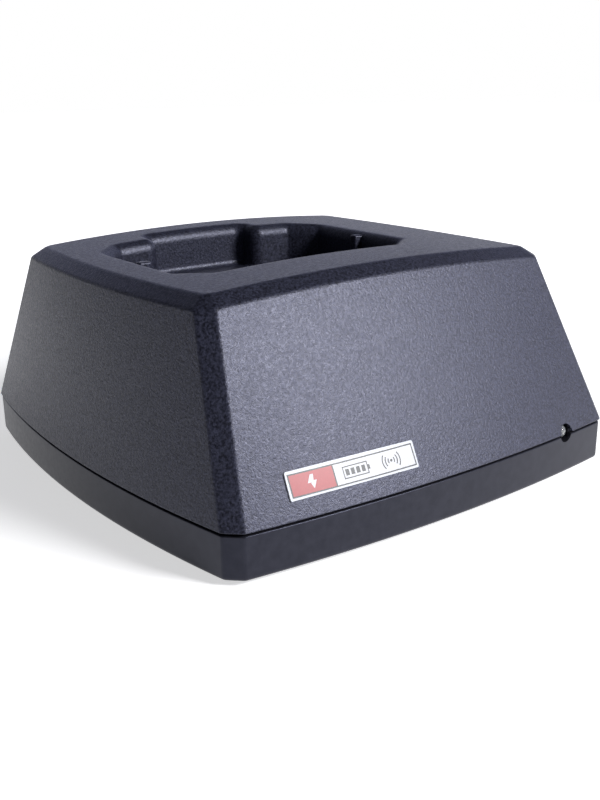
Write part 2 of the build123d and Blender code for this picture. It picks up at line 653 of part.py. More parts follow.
def can_capacitors(radius, height, points):
    """Upright electrolytic capacitors: a sleeve with a crimp groove and a scored flat top."""
    with BuildPart() as cans:
        with BuildSketch(Plane.XY.offset(BOARD_TOP)):
            with Locations(points):
                Circle(radius)
        extrude(amount=height)
        fillet(cans.edges().group_by(Axis.Z)[-1], radius=0.12 * radius)
        groove = 0.12 * height
        with BuildSketch(Plane.XY.offset(BOARD_TOP + groove)):
            with Locations(points):
                Circle(radius + 1)
                Circle(0.92 * radius, mode=Mode.SUBTRACT)
        extrude(amount=0.06 * height, mode=Mode.SUBTRACT)
        with BuildSketch(Plane.XY.offset(BOARD_TOP + height)):
            with Locations(points):
                Rectangle(1.3 * radius, 0.06 * radius)
                Rectangle(0.06 * radius, 1.3 * radius)
        extrude(amount=-0.3, mode=Mode.SUBTRACT)
    return cans.part


def axial_parts(radius, length, points):
    """Parts that lie along Y with a bent wire lead at both ends, each one solid."""
    reach = length / 2 + 1.6
    axis_z = BOARD_TOP + radius + 0.4
    with BuildPart() as parts:
        for x, y in points:
            with BuildSketch(Plane.XZ.offset(-y - length / 2)):
                with Locations((x, axis_z)):
                    Circle(radius)
            extrude(amount=length)
        fillet(parts.edges().filter_by(GeomType.CIRCLE), radius=0.3 * radius)
        for x, y in points:
            with BuildLine() as lead:
                FilletPolyline(
                    (x, y - reach, BOARD_TOP), (x, y - reach, axis_z),
                    (x, y + reach, axis_z), (x, y + reach, BOARD_TOP),
                    radius=0.8,
                )
            with BuildSketch(Plane.XY.offset(BOARD_TOP)):
                with Locations((x, y - reach)):
                    Circle(LEAD_RADIUS)
            sweep(path=lead.wires()[0])
    return parts.part


# ---- Parts on the board --------------------------------------------------------------------
capacitor_large = can_capacitors(CAPACITOR_RADIUS, CAPACITOR_HEIGHT, [(CAPACITOR_X, CAPACITOR_Y)])
capacitor_large.label = "capacitor_large"
export_step(capacitor_large, "parts/capacitor_large.step")

capacitors_small = can_capacitors(
    SMALL_CAN_RADIUS, SMALL_CAN_HEIGHT, [(SMALL_CAN_X, y) for y in SMALL_CANS_Y],
)
capacitors_small.label = "capacitors_small"
export_step(capacitors_small, "parts/capacitors_small.step")

resistors = axial_parts(
    RESISTOR_RADIUS, RESISTOR_LENGTH,
    [(FIRST_PART_X + RESISTOR_PITCH * n, RESISTOR_Y) for n in range(RESISTOR_COUNT)],
)
resistors.label = "resistors"
export_step(resistors, "parts/resistors.step")

diodes = axial_parts(
    DIODE_RADIUS, DIODE_LENGTH,
    [(FIRST_PART_X + DIODE_PITCH * n, DIODE_Y) for n in range(DIODE_COUNT)],
)
diodes.label = "diodes"
export_step(diodes, "parts/diodes.step")

with BuildPart() as charge_chip:
    with BuildSketch(Plane.XY.offset(BOARD_TOP + CHIP_RISE)):
        with Locations((CHIP_X, CHIP_Y)):
            Rectangle(CHIP_WIDTH, CHIP_LENGTH)
    extrude(amount=CHIP_HEIGHT)
    chamfer(charge_chip.edges().group_by(Axis.Z)[-1], length=0.4)
    with BuildSketch(Plane.XY.offset(BOARD_TOP + CHIP_RISE + CHIP_HEIGHT)):
        with Locations((CHIP_X, CHIP_Y - CHIP_LENGTH / 2)):
            Circle(CHIP_MARK_RADIUS)
    extrude(amount=-0.5, mode=Mode.SUBTRACT)
charge_chip.part.label = "charge_chip"
export_step(charge_chip.part, "parts/charge_chip.step")

with BuildPart() as chip_legs:
    leg_x = CHIP_WIDTH / 2 + 0.25
    with BuildSketch(Plane.XY.offset(BOARD_TOP)):
        with Locations((CHIP_X, CHIP_Y)):
            with GridLocations(2 * leg_x, CHIP_PITCH, 2, CHIP_LEGS):
                Rectangle(0.5, 0.9)
    extrude(amount=CHIP_RISE + CHIP_HEIGHT / 2)
chip_legs.part.label = "chip_legs"
export_step(chip_legs.part, "parts/chip_legs.step")

# ---- Regulator on its heat sink ------------------------------------------------------------
with BuildPart() as heat_sink:
    with BuildSketch(Plane.XY.offset(BOARD_TOP)):
        with Locations((SINK_X + SINK_PLATE / 2, SINK_Y)):
            Rectangle(SINK_PLATE, SINK_WIDTH)
        with Locations((SINK_X + SINK_PLATE + SINK_FIN / 2, SINK_Y)):
            with GridLocations(0, (SINK_WIDTH - SINK_PLATE) / (SINK_FINS - 1), 1, SINK_FINS):
                Rectangle(SINK_FIN, 1.2)
    extrude(amount=SINK_HEIGHT)
    with BuildSketch(Plane.YZ.offset(SINK_X)):
        with Locations((SINK_Y, BOARD_TOP + REGULATOR_HOLE)):
            Circle(SINK_SCREW_RADIUS)
    extrude(amount=SINK_PLATE, mode=Mode.SUBTRACT)
heat_sink.part.label = "heat_sink"
export_step(heat_sink.part, "parts/heat_sink.step")

with BuildPart() as regulator_tab:
    with BuildSketch(Plane.YZ.offset(SINK_X)):
        with Locations((SINK_Y, BOARD_TOP + REGULATOR_RISE + REGULATOR_TAB_HEIGHT / 2)):
            Rectangle(REGULATOR_WIDTH, REGULATOR_TAB_HEIGHT)
        with Locations((SINK_Y, BOARD_TOP + REGULATOR_HOLE)):
            Circle(SINK_SCREW_RADIUS + 0.3, mode=Mode.SUBTRACT)
    extrude(amount=-REGULATOR_TAB_THICK)
    with BuildSketch(Plane.XY.offset(BOARD_TOP)):
        with Locations((SINK_X - 2.6, SINK_Y)):
            with GridLocations(0, REGULATOR_LEG_PITCH, 1, 3):
                Rectangle(0.5, 0.8)
    extrude(amount=REGULATOR_RISE)
regulator_tab.part.label = "regulator_tab"
export_step(regulator_tab.part, "parts/regulator_tab.step")

with BuildPart() as regulator_body:
    with BuildSketch(Plane.YZ.offset(SINK_X - REGULATOR_TAB_THICK)):
        with Locations((SINK_Y, BOARD_TOP + REGULATOR_RISE + REGULATOR_BODY_HEIGHT / 2)):
            Rectangle(REGULATOR_WIDTH, REGULATOR_BODY_HEIGHT)
    extrude(amount=-REGULATOR_BODY_THICK)
    chamfer(regulator_body.edges().group_by(Axis.X)[0], length=0.5)
regulator_body.part.label = "regulator_body"
export_step(regulator_body.part, "parts/regulator_body.step")

with BuildPart() as regulator_screw:
    with BuildSketch(Plane.YZ.offset(SINK_X - REGULATOR_TAB_THICK)):
        with Locations((SINK_Y, BOARD_TOP + REGULATOR_HOLE)):
            Circle(SINK_SCREW_HEAD)
    extrude(amount=-SINK_HEAD_HEIGHT)
    fillet(regulator_screw.edges().group_by(Axis.X)[0], radius=0.6)
    with BuildSketch(Plane.YZ.offset(SINK_X - REGULATOR_TAB_THICK - SINK_HEAD_HEIGHT)):
        with Locations((SINK_Y, BOARD_TOP + REGULATOR_HOLE)):
            Rectangle(SLOT_WIDTH, SLOT_LENGTH)
            Rectangle(SLOT_LENGTH, SLOT_WIDTH)
    extrude(amount=SLOT_DEPTH, mode=Mode.SUBTRACT)
    with BuildSketch(Plane.YZ.offset(SINK_X - REGULATOR_TAB_THICK)):
        with Locations((SINK_Y, BOARD_TOP + REGULATOR_HOLE)):
            Circle(SINK_SCREW_RADIUS)
    extrude(amount=SINK_PLATE + REGULATOR_TAB_THICK)
regulator_screw.part.label = "regulator_screw"
export_step(regulator_screw.part, "parts/regulator_screw.step")

# ---- Status light --------------------------------------------------------------------------
with BuildPart() as status_led:
    with BuildSketch(Plane.XZ.offset(-LED_BASE_Y)):
        with Locations((LED_X, PARTING)):
            Circle(LED_RADIUS)
    extrude(amount=LED_LENGTH)
    fillet(status_led.edges().group_by(Axis.Y)[0], radius=0.96 * LED_RADIUS)
    with BuildSketch(Plane.XZ.offset(-LED_BASE_Y)):
        with Locations((LED_X, PARTING)):
            Circle(LED_FLANGE_RADIUS)
    extrude(amount=1.0)
status_led.part.label = "status_led"
export_step(status_led.part, "parts/status_led.step")

lead_drop = PARTING - BOARD_TOP
lead_reach = LED_BASE_Y + 4.0
with BuildPart() as led_leads:
    for side in (-1, 1):
        lead_x = LED_X + side * LED_LEAD_SPACING / 2
        with BuildLine() as lead_path:
            FilletPolyline(
                (lead_x, LED_BASE_Y, PARTING), (lead_x, lead_reach, PARTING), (lead_x, lead_reach, BOARD_TOP),
                radius=0.45 * lead_drop,
            )
        with BuildSketch(Plane.XZ.offset(-LED_BASE_Y)):
            with Locations((lead_x, PARTING)):
                Circle(LED_LEAD_RADIUS)
        sweep(path=lead_path.wires()[0])
led_leads.part.label = "led_leads"
export_step(led_leads.part, "parts/led_leads.step")

# ---- Charging contacts ---------------------------------------------------------------------
with BuildPart() as contact_block:
    with BuildSketch(Plane.XY.offset(BRACKET_TOP)):
        with Locations((POCKET_X, CONTACT_Y)):
            RectangleRounded(BLOCK_WIDTH, BLOCK_LENGTH, 1.0)
    extrude(amount=BLOCK_HEIGHT)
    with BuildSketch(Plane.XY.offset(BRACKET_TOP)):
        with Locations(CONTACT_POINTS):
            Circle(COLLAR_RADIUS + CHAMBER_GAP)
    extrude(amount=BLOCK_HEIGHT - BLOCK_TOP_WALL, mode=Mode.SUBTRACT)
    with BuildSketch(Plane.XY.offset(FLOOR_UNDERSIDE - BLOCK_TOP_WALL)):
        with Locations(CONTACT_POINTS):
            Circle(CONTACT_RADIUS + CONTACT_RUNNING)
    extrude(amount=BLOCK_TOP_WALL, mode=Mode.SUBTRACT)
contact_block.part.label = "contact_block"
export_step(contact_block.part, "parts/contact_block.step")

with BuildPart() as contact_bracket:
    with BuildSketch(Plane.XY.offset(BRACKET_TOP - BRACKET_THICK)):
        with Locations((POCKET_X, CONTACT_Y)):
            RectangleRounded(BRACKET_WIDTH, BLOCK_LENGTH, 2.0)
        with Locations(BRACKET_POINTS):
            Circle(SMALL_SCREW_RADIUS + 0.15, mode=Mode.SUBTRACT)
        with Locations(CONTACT_POINTS):
            Rectangle(TAIL_WIDTH + 0.3, TAG_THICK + 0.3, mode=Mode.SUBTRACT)
    extrude(amount=BRACKET_THICK)
contact_bracket.part.label = "contact_bracket"
export_step(contact_bracket.part, "parts/contact_bracket.step")

with BuildPart() as contact_tags:
    with BuildSketch(Plane.XY.offset(BRACKET_TOP)):
        with Locations(CONTACT_POINTS):
            Circle(COLLAR_RADIUS + CHAMBER_GAP / 2)
    extrude(amount=TAG_THICK)
    with BuildSketch(Plane.XY.offset(BRACKET_TOP)):
        with Locations(CONTACT_POINTS):
            Rectangle(TAIL_WIDTH, TAG_THICK)
    extrude(amount=-TAG_TAIL)
contact_tags.part.label = "contact_tags"
export_step(contact_tags.part, "parts/contact_tags.step")

for name, contact_x in zip(("left", "centre", "right"), CONTACTS):
    with BuildPart() as contact_pin:
        with BuildSketch(Plane.XY.offset(SPRING_TOP - STEM_LENGTH)):
            with Locations((contact_x, CONTACT_Y)):
                Circle(STEM_RADIUS)
        extrude(amount=STEM_LENGTH)
        with BuildSketch(Plane.XY.offset(SPRING_TOP)):
            with Locations((contact_x, CONTACT_Y)):
                Circle(COLLAR_RADIUS)
        extrude(amount=COLLAR_THICK)
        with BuildSketch(Plane.XY.offset(SPRING_TOP)):
            with Locations((contact_x, CONTACT_Y)):
                Circle(CONTACT_RADIUS)
        extrude(amount=POCKET_FLOOR + CONTACT_PROUD - SPRING_TOP)
        fillet(contact_pin.edges().group_by(Axis.Z)[-1], radius=0.8 * CONTACT_RADIUS)
    contact_pin.part.label = f"contact_pin_{name}"
    export_step(contact_pin.part, f"parts/contact_pin_{name}.step")

    coil_height = SPRING_TOP - SPRING_BOTTOM - SPRING_WIRE
    with BuildPart() as contact_spring:
        with BuildLine():
            coil = Helix(
                pitch=coil_height / SPRING_TURNS, height=coil_height, radius=SPRING_RADIUS,
                center=(contact_x, CONTACT_Y, SPRING_BOTTOM + SPRING_WIRE / 2),
            )
        with BuildSketch(Plane(origin=coil @ 0, z_dir=coil % 0)):
            Circle(SPRING_WIRE / 2)
        sweep(path=coil, is_frenet=True)
    contact_spring.part.label = f"contact_spring_{name}"
    export_step(contact_spring.part, f"parts/contact_spring_{name}.step")

# ---- Wiring between contacts and board -----------------------------------------------------
with BuildPart() as board_header:
    with BuildSketch(Plane.XY.offset(BOARD_TOP)):
        with Locations((BOARD_LEFT + HEADER_SETBACK + HEADER_LENGTH / 2, HEADER_Y)):
            Rectangle(HEADER_LENGTH, 3 * WIRE_PITCH + 1.5)
    extrude(amount=HEADER_HEIGHT)
    chamfer(board_header.edges().filter_by(Axis.Z), length=0.4)
board_header.part.label = "board_header"
export_step(board_header.part, "parts/board_header.step")

with BuildPart() as wire_plug:
    with BuildSketch(Plane.XY.offset(WIRE_EXIT - PLUG_HEIGHT / 2)):
        with Locations((BOARD_LEFT + HEADER_SETBACK - PLUG_LENGTH / 2, HEADER_Y)):
            Rectangle(PLUG_LENGTH, 3 * WIRE_PITCH)
    extrude(amount=PLUG_HEIGHT)
    chamfer(wire_plug.edges().group_by(Axis.X)[0], length=0.3)
wire_plug.part.label = "wire_plug"
export_step(wire_plug.part, "parts/wire_plug.step")

wire_low = BRACKET_TOP - TAG_TAIL + WIRE_RADIUS + 0.1
plug_back = BOARD_LEFT + HEADER_SETBACK - PLUG_LENGTH
for name, contact_x, lane in zip(("left", "centre", "right"), CONTACTS, (-1, 0, 1)):
    lane_y = HEADER_Y + lane * WIRE_PITCH
    start = (contact_x, CONTACT_Y - TAG_THICK / 2, wire_low)
    with BuildPart() as contact_wire:
        with BuildLine() as route:
            FilletPolyline(
                start,
                (contact_x, lane_y, wire_low),
                (plug_back - 9, lane_y, wire_low),
                (plug_back - 4.5, lane_y, WIRE_EXIT),
                (plug_back, lane_y, WIRE_EXIT),
                radius=(WIRE_BEND, WIRE_BEND, WIRE_BEND),
            )
        with BuildSketch(Plane(origin=start, z_dir=(0, -1, 0))):
            Circle(WIRE_RADIUS)
        sweep(path=route.wires()[0])
    contact_wire.part.label = f"contact_wire_{name}"
    export_step(contact_wire.part, f"parts/contact_wire_{name}.step")
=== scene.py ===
# %% [markdown]
# # A desktop charging cradle for a handheld radio
# The object is a squat, sloping case of black ABS that stands on four rubber feet. A radio drops
# into the pocket in its top and rests on three spring contacts. All sizes come from the packed
# CAD frame, which is loaded first and never changed: Blender only adds the looks around it.

# %% Load the frame
import math

import bmesh
import bpy
from mathutils import Matrix, Vector
from mathutils.bvhtree import BVHTree
from mathutils.geometry import delaunay_2d_cdt


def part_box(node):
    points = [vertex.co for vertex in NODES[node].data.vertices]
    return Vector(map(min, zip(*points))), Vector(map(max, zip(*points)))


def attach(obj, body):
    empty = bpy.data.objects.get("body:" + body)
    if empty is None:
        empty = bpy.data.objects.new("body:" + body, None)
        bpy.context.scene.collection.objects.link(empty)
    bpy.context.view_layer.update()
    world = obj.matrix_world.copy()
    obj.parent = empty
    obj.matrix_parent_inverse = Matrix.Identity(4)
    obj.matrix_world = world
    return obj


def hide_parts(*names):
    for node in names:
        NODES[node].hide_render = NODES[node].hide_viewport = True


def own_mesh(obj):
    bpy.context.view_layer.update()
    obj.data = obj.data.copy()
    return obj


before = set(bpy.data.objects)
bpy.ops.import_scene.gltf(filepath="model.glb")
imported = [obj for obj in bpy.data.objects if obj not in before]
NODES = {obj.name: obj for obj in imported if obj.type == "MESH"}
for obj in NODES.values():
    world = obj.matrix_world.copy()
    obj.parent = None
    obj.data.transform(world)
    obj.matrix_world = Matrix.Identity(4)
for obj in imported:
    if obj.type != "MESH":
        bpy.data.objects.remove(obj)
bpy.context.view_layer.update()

MM = 0.001
HOUSING = "housing"


# %% [markdown]
# ## One way to start every finish
# Every surface of this object is a plain material with a little life in it: a slight change of
# tone, a slight change of gloss, and a surface texture at its real size. A Principled shader fed
# by noise in Object coordinates does all three, and because the pieces sit at the origin in
# metres, a noise scale of 1000 is a feature of about a millimetre.

# %% Helpers for materials
def start_material(name, color, roughness, metallic=0.0, ior=1.5):
    """A Principled material with constant values, ready to be given texture."""
    material = bpy.data.materials.new(name)
    material.use_nodes = True
    shader = material.node_tree.nodes["Principled BSDF"]
    shader.inputs["Base Color"].default_value = (*color, 1)
    shader.inputs["Roughness"].default_value = roughness
    shader.inputs["Metallic"].default_value = metallic
    shader.inputs["IOR"].default_value = ior
    return material


def shader_of(material):
    return material.node_tree.nodes["Principled BSDF"]


def noise(material, size_mm, detail=2.0, rough=0.5, stretch=(1, 1, 1)):
    """Noise whose features are about size_mm across, in the piece's own coordinates."""
    nodes, links = material.node_tree.nodes, material.node_tree.links
    place = nodes.new("ShaderNodeTexCoord")
    turn = nodes.new("ShaderNodeMapping")
    turn.inputs["Scale"].default_value = stretch
    texture = nodes.new("ShaderNodeTexNoise")
    texture.inputs["Scale"].default_value = 1 / (size_mm * MM)
    texture.inputs["Detail"].default_value = detail
    texture.inputs["Roughness"].default_value = rough
    links.new(place.outputs["Object"], turn.inputs["Vector"])
    links.new(turn.outputs["Vector"], texture.inputs["Vector"])
    return texture.outputs["Fac"]


def ramp(material, value, low, high, start=0.3, end=0.7):
    """Maps a noise value onto a range of grey or colour values."""
    nodes, links = material.node_tree.nodes, material.node_tree.links
    band = nodes.new("ShaderNodeValToRGB")
    band.color_ramp.elements[0].position = start
    band.color_ramp.elements[1].position = end
    band.color_ramp.elements[0].color = (*low, 1) if isinstance(low, tuple) else (low, low, low, 1)
    band.color_ramp.elements[1].color = (*high, 1) if isinstance(high, tuple) else (high, high, high, 1)
    links.new(value, band.inputs["Fac"])
    return band.outputs["Color"]


def tone(material, value, low, high, start=0.3, end=0.7):
    """Lets a noise value vary the base colour."""
    color = ramp(material, value, low, high, start, end)
    material.node_tree.links.new(color, shader_of(material).inputs["Base Color"])


def gloss(material, value, low, high, start=0.3, end=0.7):
    """Lets a noise value vary the roughness."""
    color = ramp(material, value, low, high, start, end)
    material.node_tree.links.new(color, shader_of(material).inputs["Roughness"])


def bump(material, value, height_mm, strength=1.0, under=None):
    """Raises the surface by a noise value, on top of another bump if one is given."""
    nodes, links = material.node_tree.nodes, material.node_tree.links
    relief = nodes.new("ShaderNodeBump")
    relief.inputs["Strength"].default_value = strength
    relief.inputs["Distance"].default_value = height_mm * MM
    links.new(value, relief.inputs["Height"])
    if under is not None:
        links.new(under, relief.inputs["Normal"])
    links.new(relief.outputs["Normal"], shader_of(material).inputs["Normal"])
    return relief.outputs["Normal"]


def placed(name, data):
    """A new object in the scene, at the origin."""
    made = bpy.data.objects.new(name, data)
    bpy.context.scene.collection.objects.link(made)
    return made


def dress(names, material):
    """Gives carried-over CAD nodes a finish through their object's material slots."""
    for name in names:
        node = NODES[name]
        if not node.material_slots:
            node.data.materials.append(None)
        for slot in node.material_slots:
            slot.link = "OBJECT"
            slot.material = material


# %% [markdown]
# ## Spark-eroded ABS
# The cover's mould was textured by spark erosion, which leaves a dense carpet of tiny rounded
# pits. Two noises do it: one at half a millimetre carries the visible sparkle, and a slightly
# larger one makes it uneven. The base is blue-black, and the sheen comes from gloss.

# %% Cover and tray plastic
def grained_plastic():
    material = start_material("grained_abs", (0.012, 0.012, 0.016), 0.38)
    shader_of(material).inputs["Specular Tint"].default_value = (0.78, 0.8, 1.0, 1)
    speckle = noise(material, 0.5, detail=3.0, rough=0.7)
    tone(material, speckle, (0.003, 0.003, 0.006), (0.03, 0.032, 0.052), 0.38, 0.62)
    gloss(material, noise(material, 0.7, detail=2.0), 0.33, 0.45)
    coarse = bump(material, noise(material, 0.7, detail=1.0), 0.03, 0.7)
    bump(material, speckle, 0.1, 1.0, under=coarse)
    return material


def satin_plastic():
    material = start_material("satin_abs", (0.012, 0.012, 0.016), 0.3)
    shader_of(material).inputs["Specular IOR Level"].default_value = 0.32
    shader_of(material).inputs["Specular Tint"].default_value = (0.68, 0.72, 1.0, 1)
    tone(material, noise(material, 2.0, detail=4.0), (0.009, 0.009, 0.012), (0.016, 0.016, 0.021))
    gloss(material, noise(material, 1.0, detail=4.0), 0.28, 0.36)
    bump(material, noise(material, 0.6, detail=4.0), 0.008, 0.6)
    return material


GRAINED = grained_plastic()
SATIN = satin_plastic()
dress(["cover"], GRAINED)
dress(["base_tray"], SATIN)
print("made", GRAINED.name, SATIN.name)


# %% [markdown]
# ## The cover's form
# The cover is one injection-moulded shell: a bowed rectangle with cut corners that leans in as it
# rises, a bevel, and a shallow barrel-shaped top. The CAD solid has the right form but crisp upright
# edges, where the real mould has a soft radius on every edge. So the cover is laid up again as
# rings: each ring has the same number of points, point n always sits on the same upright line,
# and every corner is turned with a short curve. Sizes here are in millimetres.

# %% Sizes of the case
PARTING, SHOULDER, TOP = 10.6, 48.9, 51.0
FOOT_LINE = 1.0
LOW_SIZES = (58.1, 58.85, 5.5, 3.5, 0.0)        # half width, half depth, two bulges, backward shift
HIGH_SIZES = (48.35, 41.25, 2.3, 1.5, 1.92)
CORNER_CUT = 2.7
CUT_SHRINK = 0.586         # a cut corner gets this much shorter for each mm the outline shrinks
CORNER_SOFT = 0.5          # length of a corner's curve on each side of it
CROWN = 560.0
BEVEL_TOP, BEVEL_SIDE = 2.6, 2.25
WALL = 2.5
SIDE_STEPS = 40


def crown_drop(x):
    return CROWN - math.sqrt(CROWN**2 - x * x)


def curve_round(start, corner, end, steps=4):
    """The points inside a soft corner, without its two ends."""
    parts = [n / steps for n in range(1, steps)]
    return [
        tuple((1 - u) ** 2 * a + 2 * u * (1 - u) * b + u**2 * c for a, b, c in zip(start, corner, end))
        for u in parts
    ]


def toward(start, end, length):
    """The point at a length from start on the way to end."""
    share = length / math.dist(start, end)
    return tuple(a + (b - a) * share for a, b in zip(start, end))


# %% Outline of the case
def case_outline(z, inset=0.0):
    """One closed loop of (x, y) points round the bowed case at height z, drawn in by inset."""
    share = (z - PARTING) / (SHOULDER - PARTING)
    half_x, half_y, bulge_x, bulge_y, shift = (a + (b - a) * share for a, b in zip(LOW_SIZES, HIGH_SIZES))
    cut = max(CORNER_CUT - CUT_SHRINK * inset, 0.4)
    corner_x, corner_y = half_x - bulge_x - inset, half_y - bulge_y - inset
    sides = []
    for far, bulge, corner in ((half_x, bulge_x, corner_y), (half_y, bulge_y, corner_x)):
        near = corner - cut
        sag = bulge * (near / corner) ** 2
        radius = (near**2 + sag**2) / (2 * sag)
        sides.append((far - inset, radius, near))
    loop = []
    for quarter in range(4):
        far, radius, near = sides[quarter % 2]
        far_next, radius_next, near_next = sides[(quarter + 1) % 2]

        def on_side(along):
            return far - radius + math.sqrt(radius**2 - along**2), along

        reach = near - CORNER_SOFT
        run = [on_side(-reach + 2 * reach * n / SIDE_STEPS) for n in range(SIDE_STEPS + 1)]
        corner_a = on_side(near)
        next_out = far_next - radius_next + math.sqrt(radius_next**2 - near_next**2)
        corner_b = (near_next, next_out)
        cut_a, cut_b = toward(corner_a, corner_b, CORNER_SOFT), toward(corner_b, corner_a, CORNER_SOFT)
        next_start = near_next - CORNER_SOFT
        start_next = (next_start, far_next - radius_next + math.sqrt(radius_next**2 - next_start**2))
        run += curve_round(run[-1], corner_a, cut_a) + [cut_a]
        run += [tuple((a + b) / 2 for a, b in zip(cut_a, cut_b)), cut_b]
        run += curve_round(cut_b, corner_b, start_next)
        for x, y in run:
            for _ in range(quarter):
                x, y = -y, x
            loop.append((x, y + shift))
    return loop


LOOP_COUNT = len(case_outline(PARTING))
print("each ring has", LOOP_COUNT, "points")


# %% Upright lines of the case
HIGH_Z = TOP + 3


class UprightLines:
    """The straight, leaning lines that join the lowest and highest outline, point by point."""

    def __init__(self, inset):
        self.low = case_outline(PARTING, inset)
        self.high = case_outline(HIGH_Z, inset)

    def at(self, n, z):
        share = (z - PARTING) / (HIGH_Z - PARTING)
        return tuple(a + (b - a) * share for a, b in zip(self.low[n], self.high[n])) + (z,)

    def under_crown(self, n, drop=0.0):
        """Where line n meets the barrel-shaped top, lowered by drop."""
        z = TOP
        for _ in range(6):
            z = TOP - crown_drop(self.at(n, z)[0]) - drop
        return self.at(n, z)

    def lean(self, n):
        a, b = (*self.low[n], PARTING), (*self.high[n], HIGH_Z)
        return (HIGH_Z - PARTING) / math.dist(a, b)


# %% [markdown]
# ## The pocket's mouth
# The pocket is an oblong with cut corners, with a shallower recess behind it that clears the
# radio's belt clip. Its lip is a rolled edge of 2.8 mm. A lip like this is easiest as offsets of
# one outline: every point knows which way is outward, so a whole rounded lip is one loop
# moved out and down along a quarter circle.

# %% Outline of the pocket
POCKET_PLACE = (-6.6, 2.25)
HALF_MOUTH = (30.0, 21.0)
POCKET_CUT = 5.7
POCKET_SOFT = 1.5
RECESS_HALF, RECESS_DEEP = 13.7, 6.7
RECESS_CORNER = 1.9
MOUTH_SOFT = 3.2
LIP = 2.8
BUCKET_WALL = 2.0
POCKET_FLOOR, RECESS_FLOOR = 19.0, 40.4
FLOOR_THICK = 2.2


def soft_polygon(corners, step=2.0):
    """Samples a polygon of (x, y, radius) corners as (x, y, outward x, outward y)."""
    samples = []
    count = len(corners)
    ends = []
    for n in range(count):
        here = Vector(corners[n][:2])
        before = (here - Vector(corners[n - 1][:2])).normalized()
        after = (Vector(corners[(n + 1) % count][:2]) - here).normalized()
        turn = math.atan2(before.x * after.y - before.y * after.x, before.dot(after))
        radius = corners[n][2]
        trim = radius * math.tan(abs(turn) / 2)
        ends.append((here - before * trim, before, turn, radius, here + after * trim))
    for n in range(count):
        start, heading, turn, radius, finish = ends[n]
        steps = max(3, round(abs(turn) / math.radians(11)))
        side = 1 if turn > 0 else -1
        centre = start + Vector((-heading.y, heading.x)) * radius * side
        for k in range(steps + 1):
            angle = turn * k / steps
            way = Vector((heading.x * math.cos(angle) - heading.y * math.sin(angle),
                          heading.x * math.sin(angle) + heading.y * math.cos(angle)))
            out = Vector((way.y, -way.x))
            place = centre + out * radius * side
            samples.append((place.x, place.y, out.x, out.y))
        following = ends[(n + 1) % count][0]
        gap = (following - finish).length
        pieces = max(1, round(gap / step))
        out = Vector(samples[-1][2:])
        for k in range(1, pieces):
            place = finish.lerp(following, k / pieces)
            samples.append((place.x, place.y, out.x, out.y))
    px, py = POCKET_PLACE
    return [(x + px, y + py, nx, ny) for x, y, nx, ny in samples]


hx, hy = HALF_MOUTH
back = hy + RECESS_DEEP
MOUTH = soft_polygon([
    (hx - POCKET_CUT, -hy, POCKET_SOFT), (hx, POCKET_CUT - hy, POCKET_SOFT),
    (hx, hy - POCKET_CUT, POCKET_SOFT), (hx - POCKET_CUT, hy, POCKET_SOFT),
    (RECESS_HALF, hy, MOUTH_SOFT), (RECESS_HALF, back, RECESS_CORNER),
    (-RECESS_HALF, back, RECESS_CORNER), (-RECESS_HALF, hy, MOUTH_SOFT),
    (POCKET_CUT - hx, hy, POCKET_SOFT), (-hx, hy - POCKET_CUT, POCKET_SOFT),
    (-hx, POCKET_CUT - hy, POCKET_SOFT), (POCKET_CUT - hx, -hy, POCKET_SOFT),
])
MOUTH_LINE = POCKET_PLACE[1] + hy
behind = [n for n, sample in enumerate(MOUTH) if sample[1] > MOUTH_LINE + 1e-4]
FIRST_BEHIND, LAST_BEHIND = behind[0] - 1, behind[-1] + 1
print("mouth has", len(MOUTH), "points, recess", FIRST_BEHIND, "to", LAST_BEHIND)


# %% Tools for laying up a shell
def grown(sample, grow, z):
    x, y, nx, ny = sample
    return x + nx * grow, y + ny * grow, z


class Shell:
    """Collects rings and filled areas into one mesh, in millimetres."""

    def __init__(self):
        self.form = bmesh.new()

    def ring(self, points):
        return [self.form.verts.new(point) for point in points]

    def bridge(self, lower, upper, closed=True):
        count = len(lower)
        for n in range(count if closed else count - 1):
            m = (n + 1) % count
            self.form.faces.new((lower[n], lower[m], upper[m], upper[n]))

    def stack(self, rings, closed=True):
        made = [self.ring(points) for points in rings]
        for lower, upper in zip(made, made[1:]):
            self.bridge(lower, upper, closed)
        return made

    def fill(self, loops, height, pitch=4.0):
        """Fills the area between loops of (x, y) points; height gives z at a place."""
        points, edges = [], []
        for loop in loops:
            first = len(points)
            points += [Vector(p[:2]) for p in loop]
            edges += [(first + n, first + (n + 1) % len(loop)) for n in range(len(loop))]
        xs, ys = [p.x for p in points], [p.y for p in points]
        rim = list(points)
        for i in range(int((max(xs) - min(xs)) / pitch) + 1):
            for j in range(int((max(ys) - min(ys)) / pitch) + 1):
                spot = Vector((min(xs) + (i + 0.5) * pitch, min(ys) + (j + 0.5) * pitch))
                if min((spot - p).length_squared for p in rim) > (0.4 * pitch) ** 2:
                    points.append(spot)
        made = delaunay_2d_cdt(points, edges, [], 2, 1e-6)
        inside = [face for face in made[2] if odd_crossings(loops, centre_of(made[0], face))]
        used = {}
        for face in inside:
            for n in face:
                if n not in used:
                    used[n] = self.form.verts.new((*made[0][n], height(*made[0][n])))
        for face in inside:
            self.form.faces.new([used[n] for n in face])

    def finish(self, name, merge=2e-3):
        bmesh.ops.remove_doubles(self.form, verts=self.form.verts, dist=merge)
        bmesh.ops.recalc_face_normals(self.form, faces=self.form.faces)
        mesh = bpy.data.meshes.new(name)
        self.form.to_mesh(mesh)
        self.form.free()
        return placed(name, mesh)


def flattened(loop):
    return [point[:2] for point in loop]


def centre_of(points, face):
    return sum((points[n] for n in face), Vector((0, 0))) / len(face)


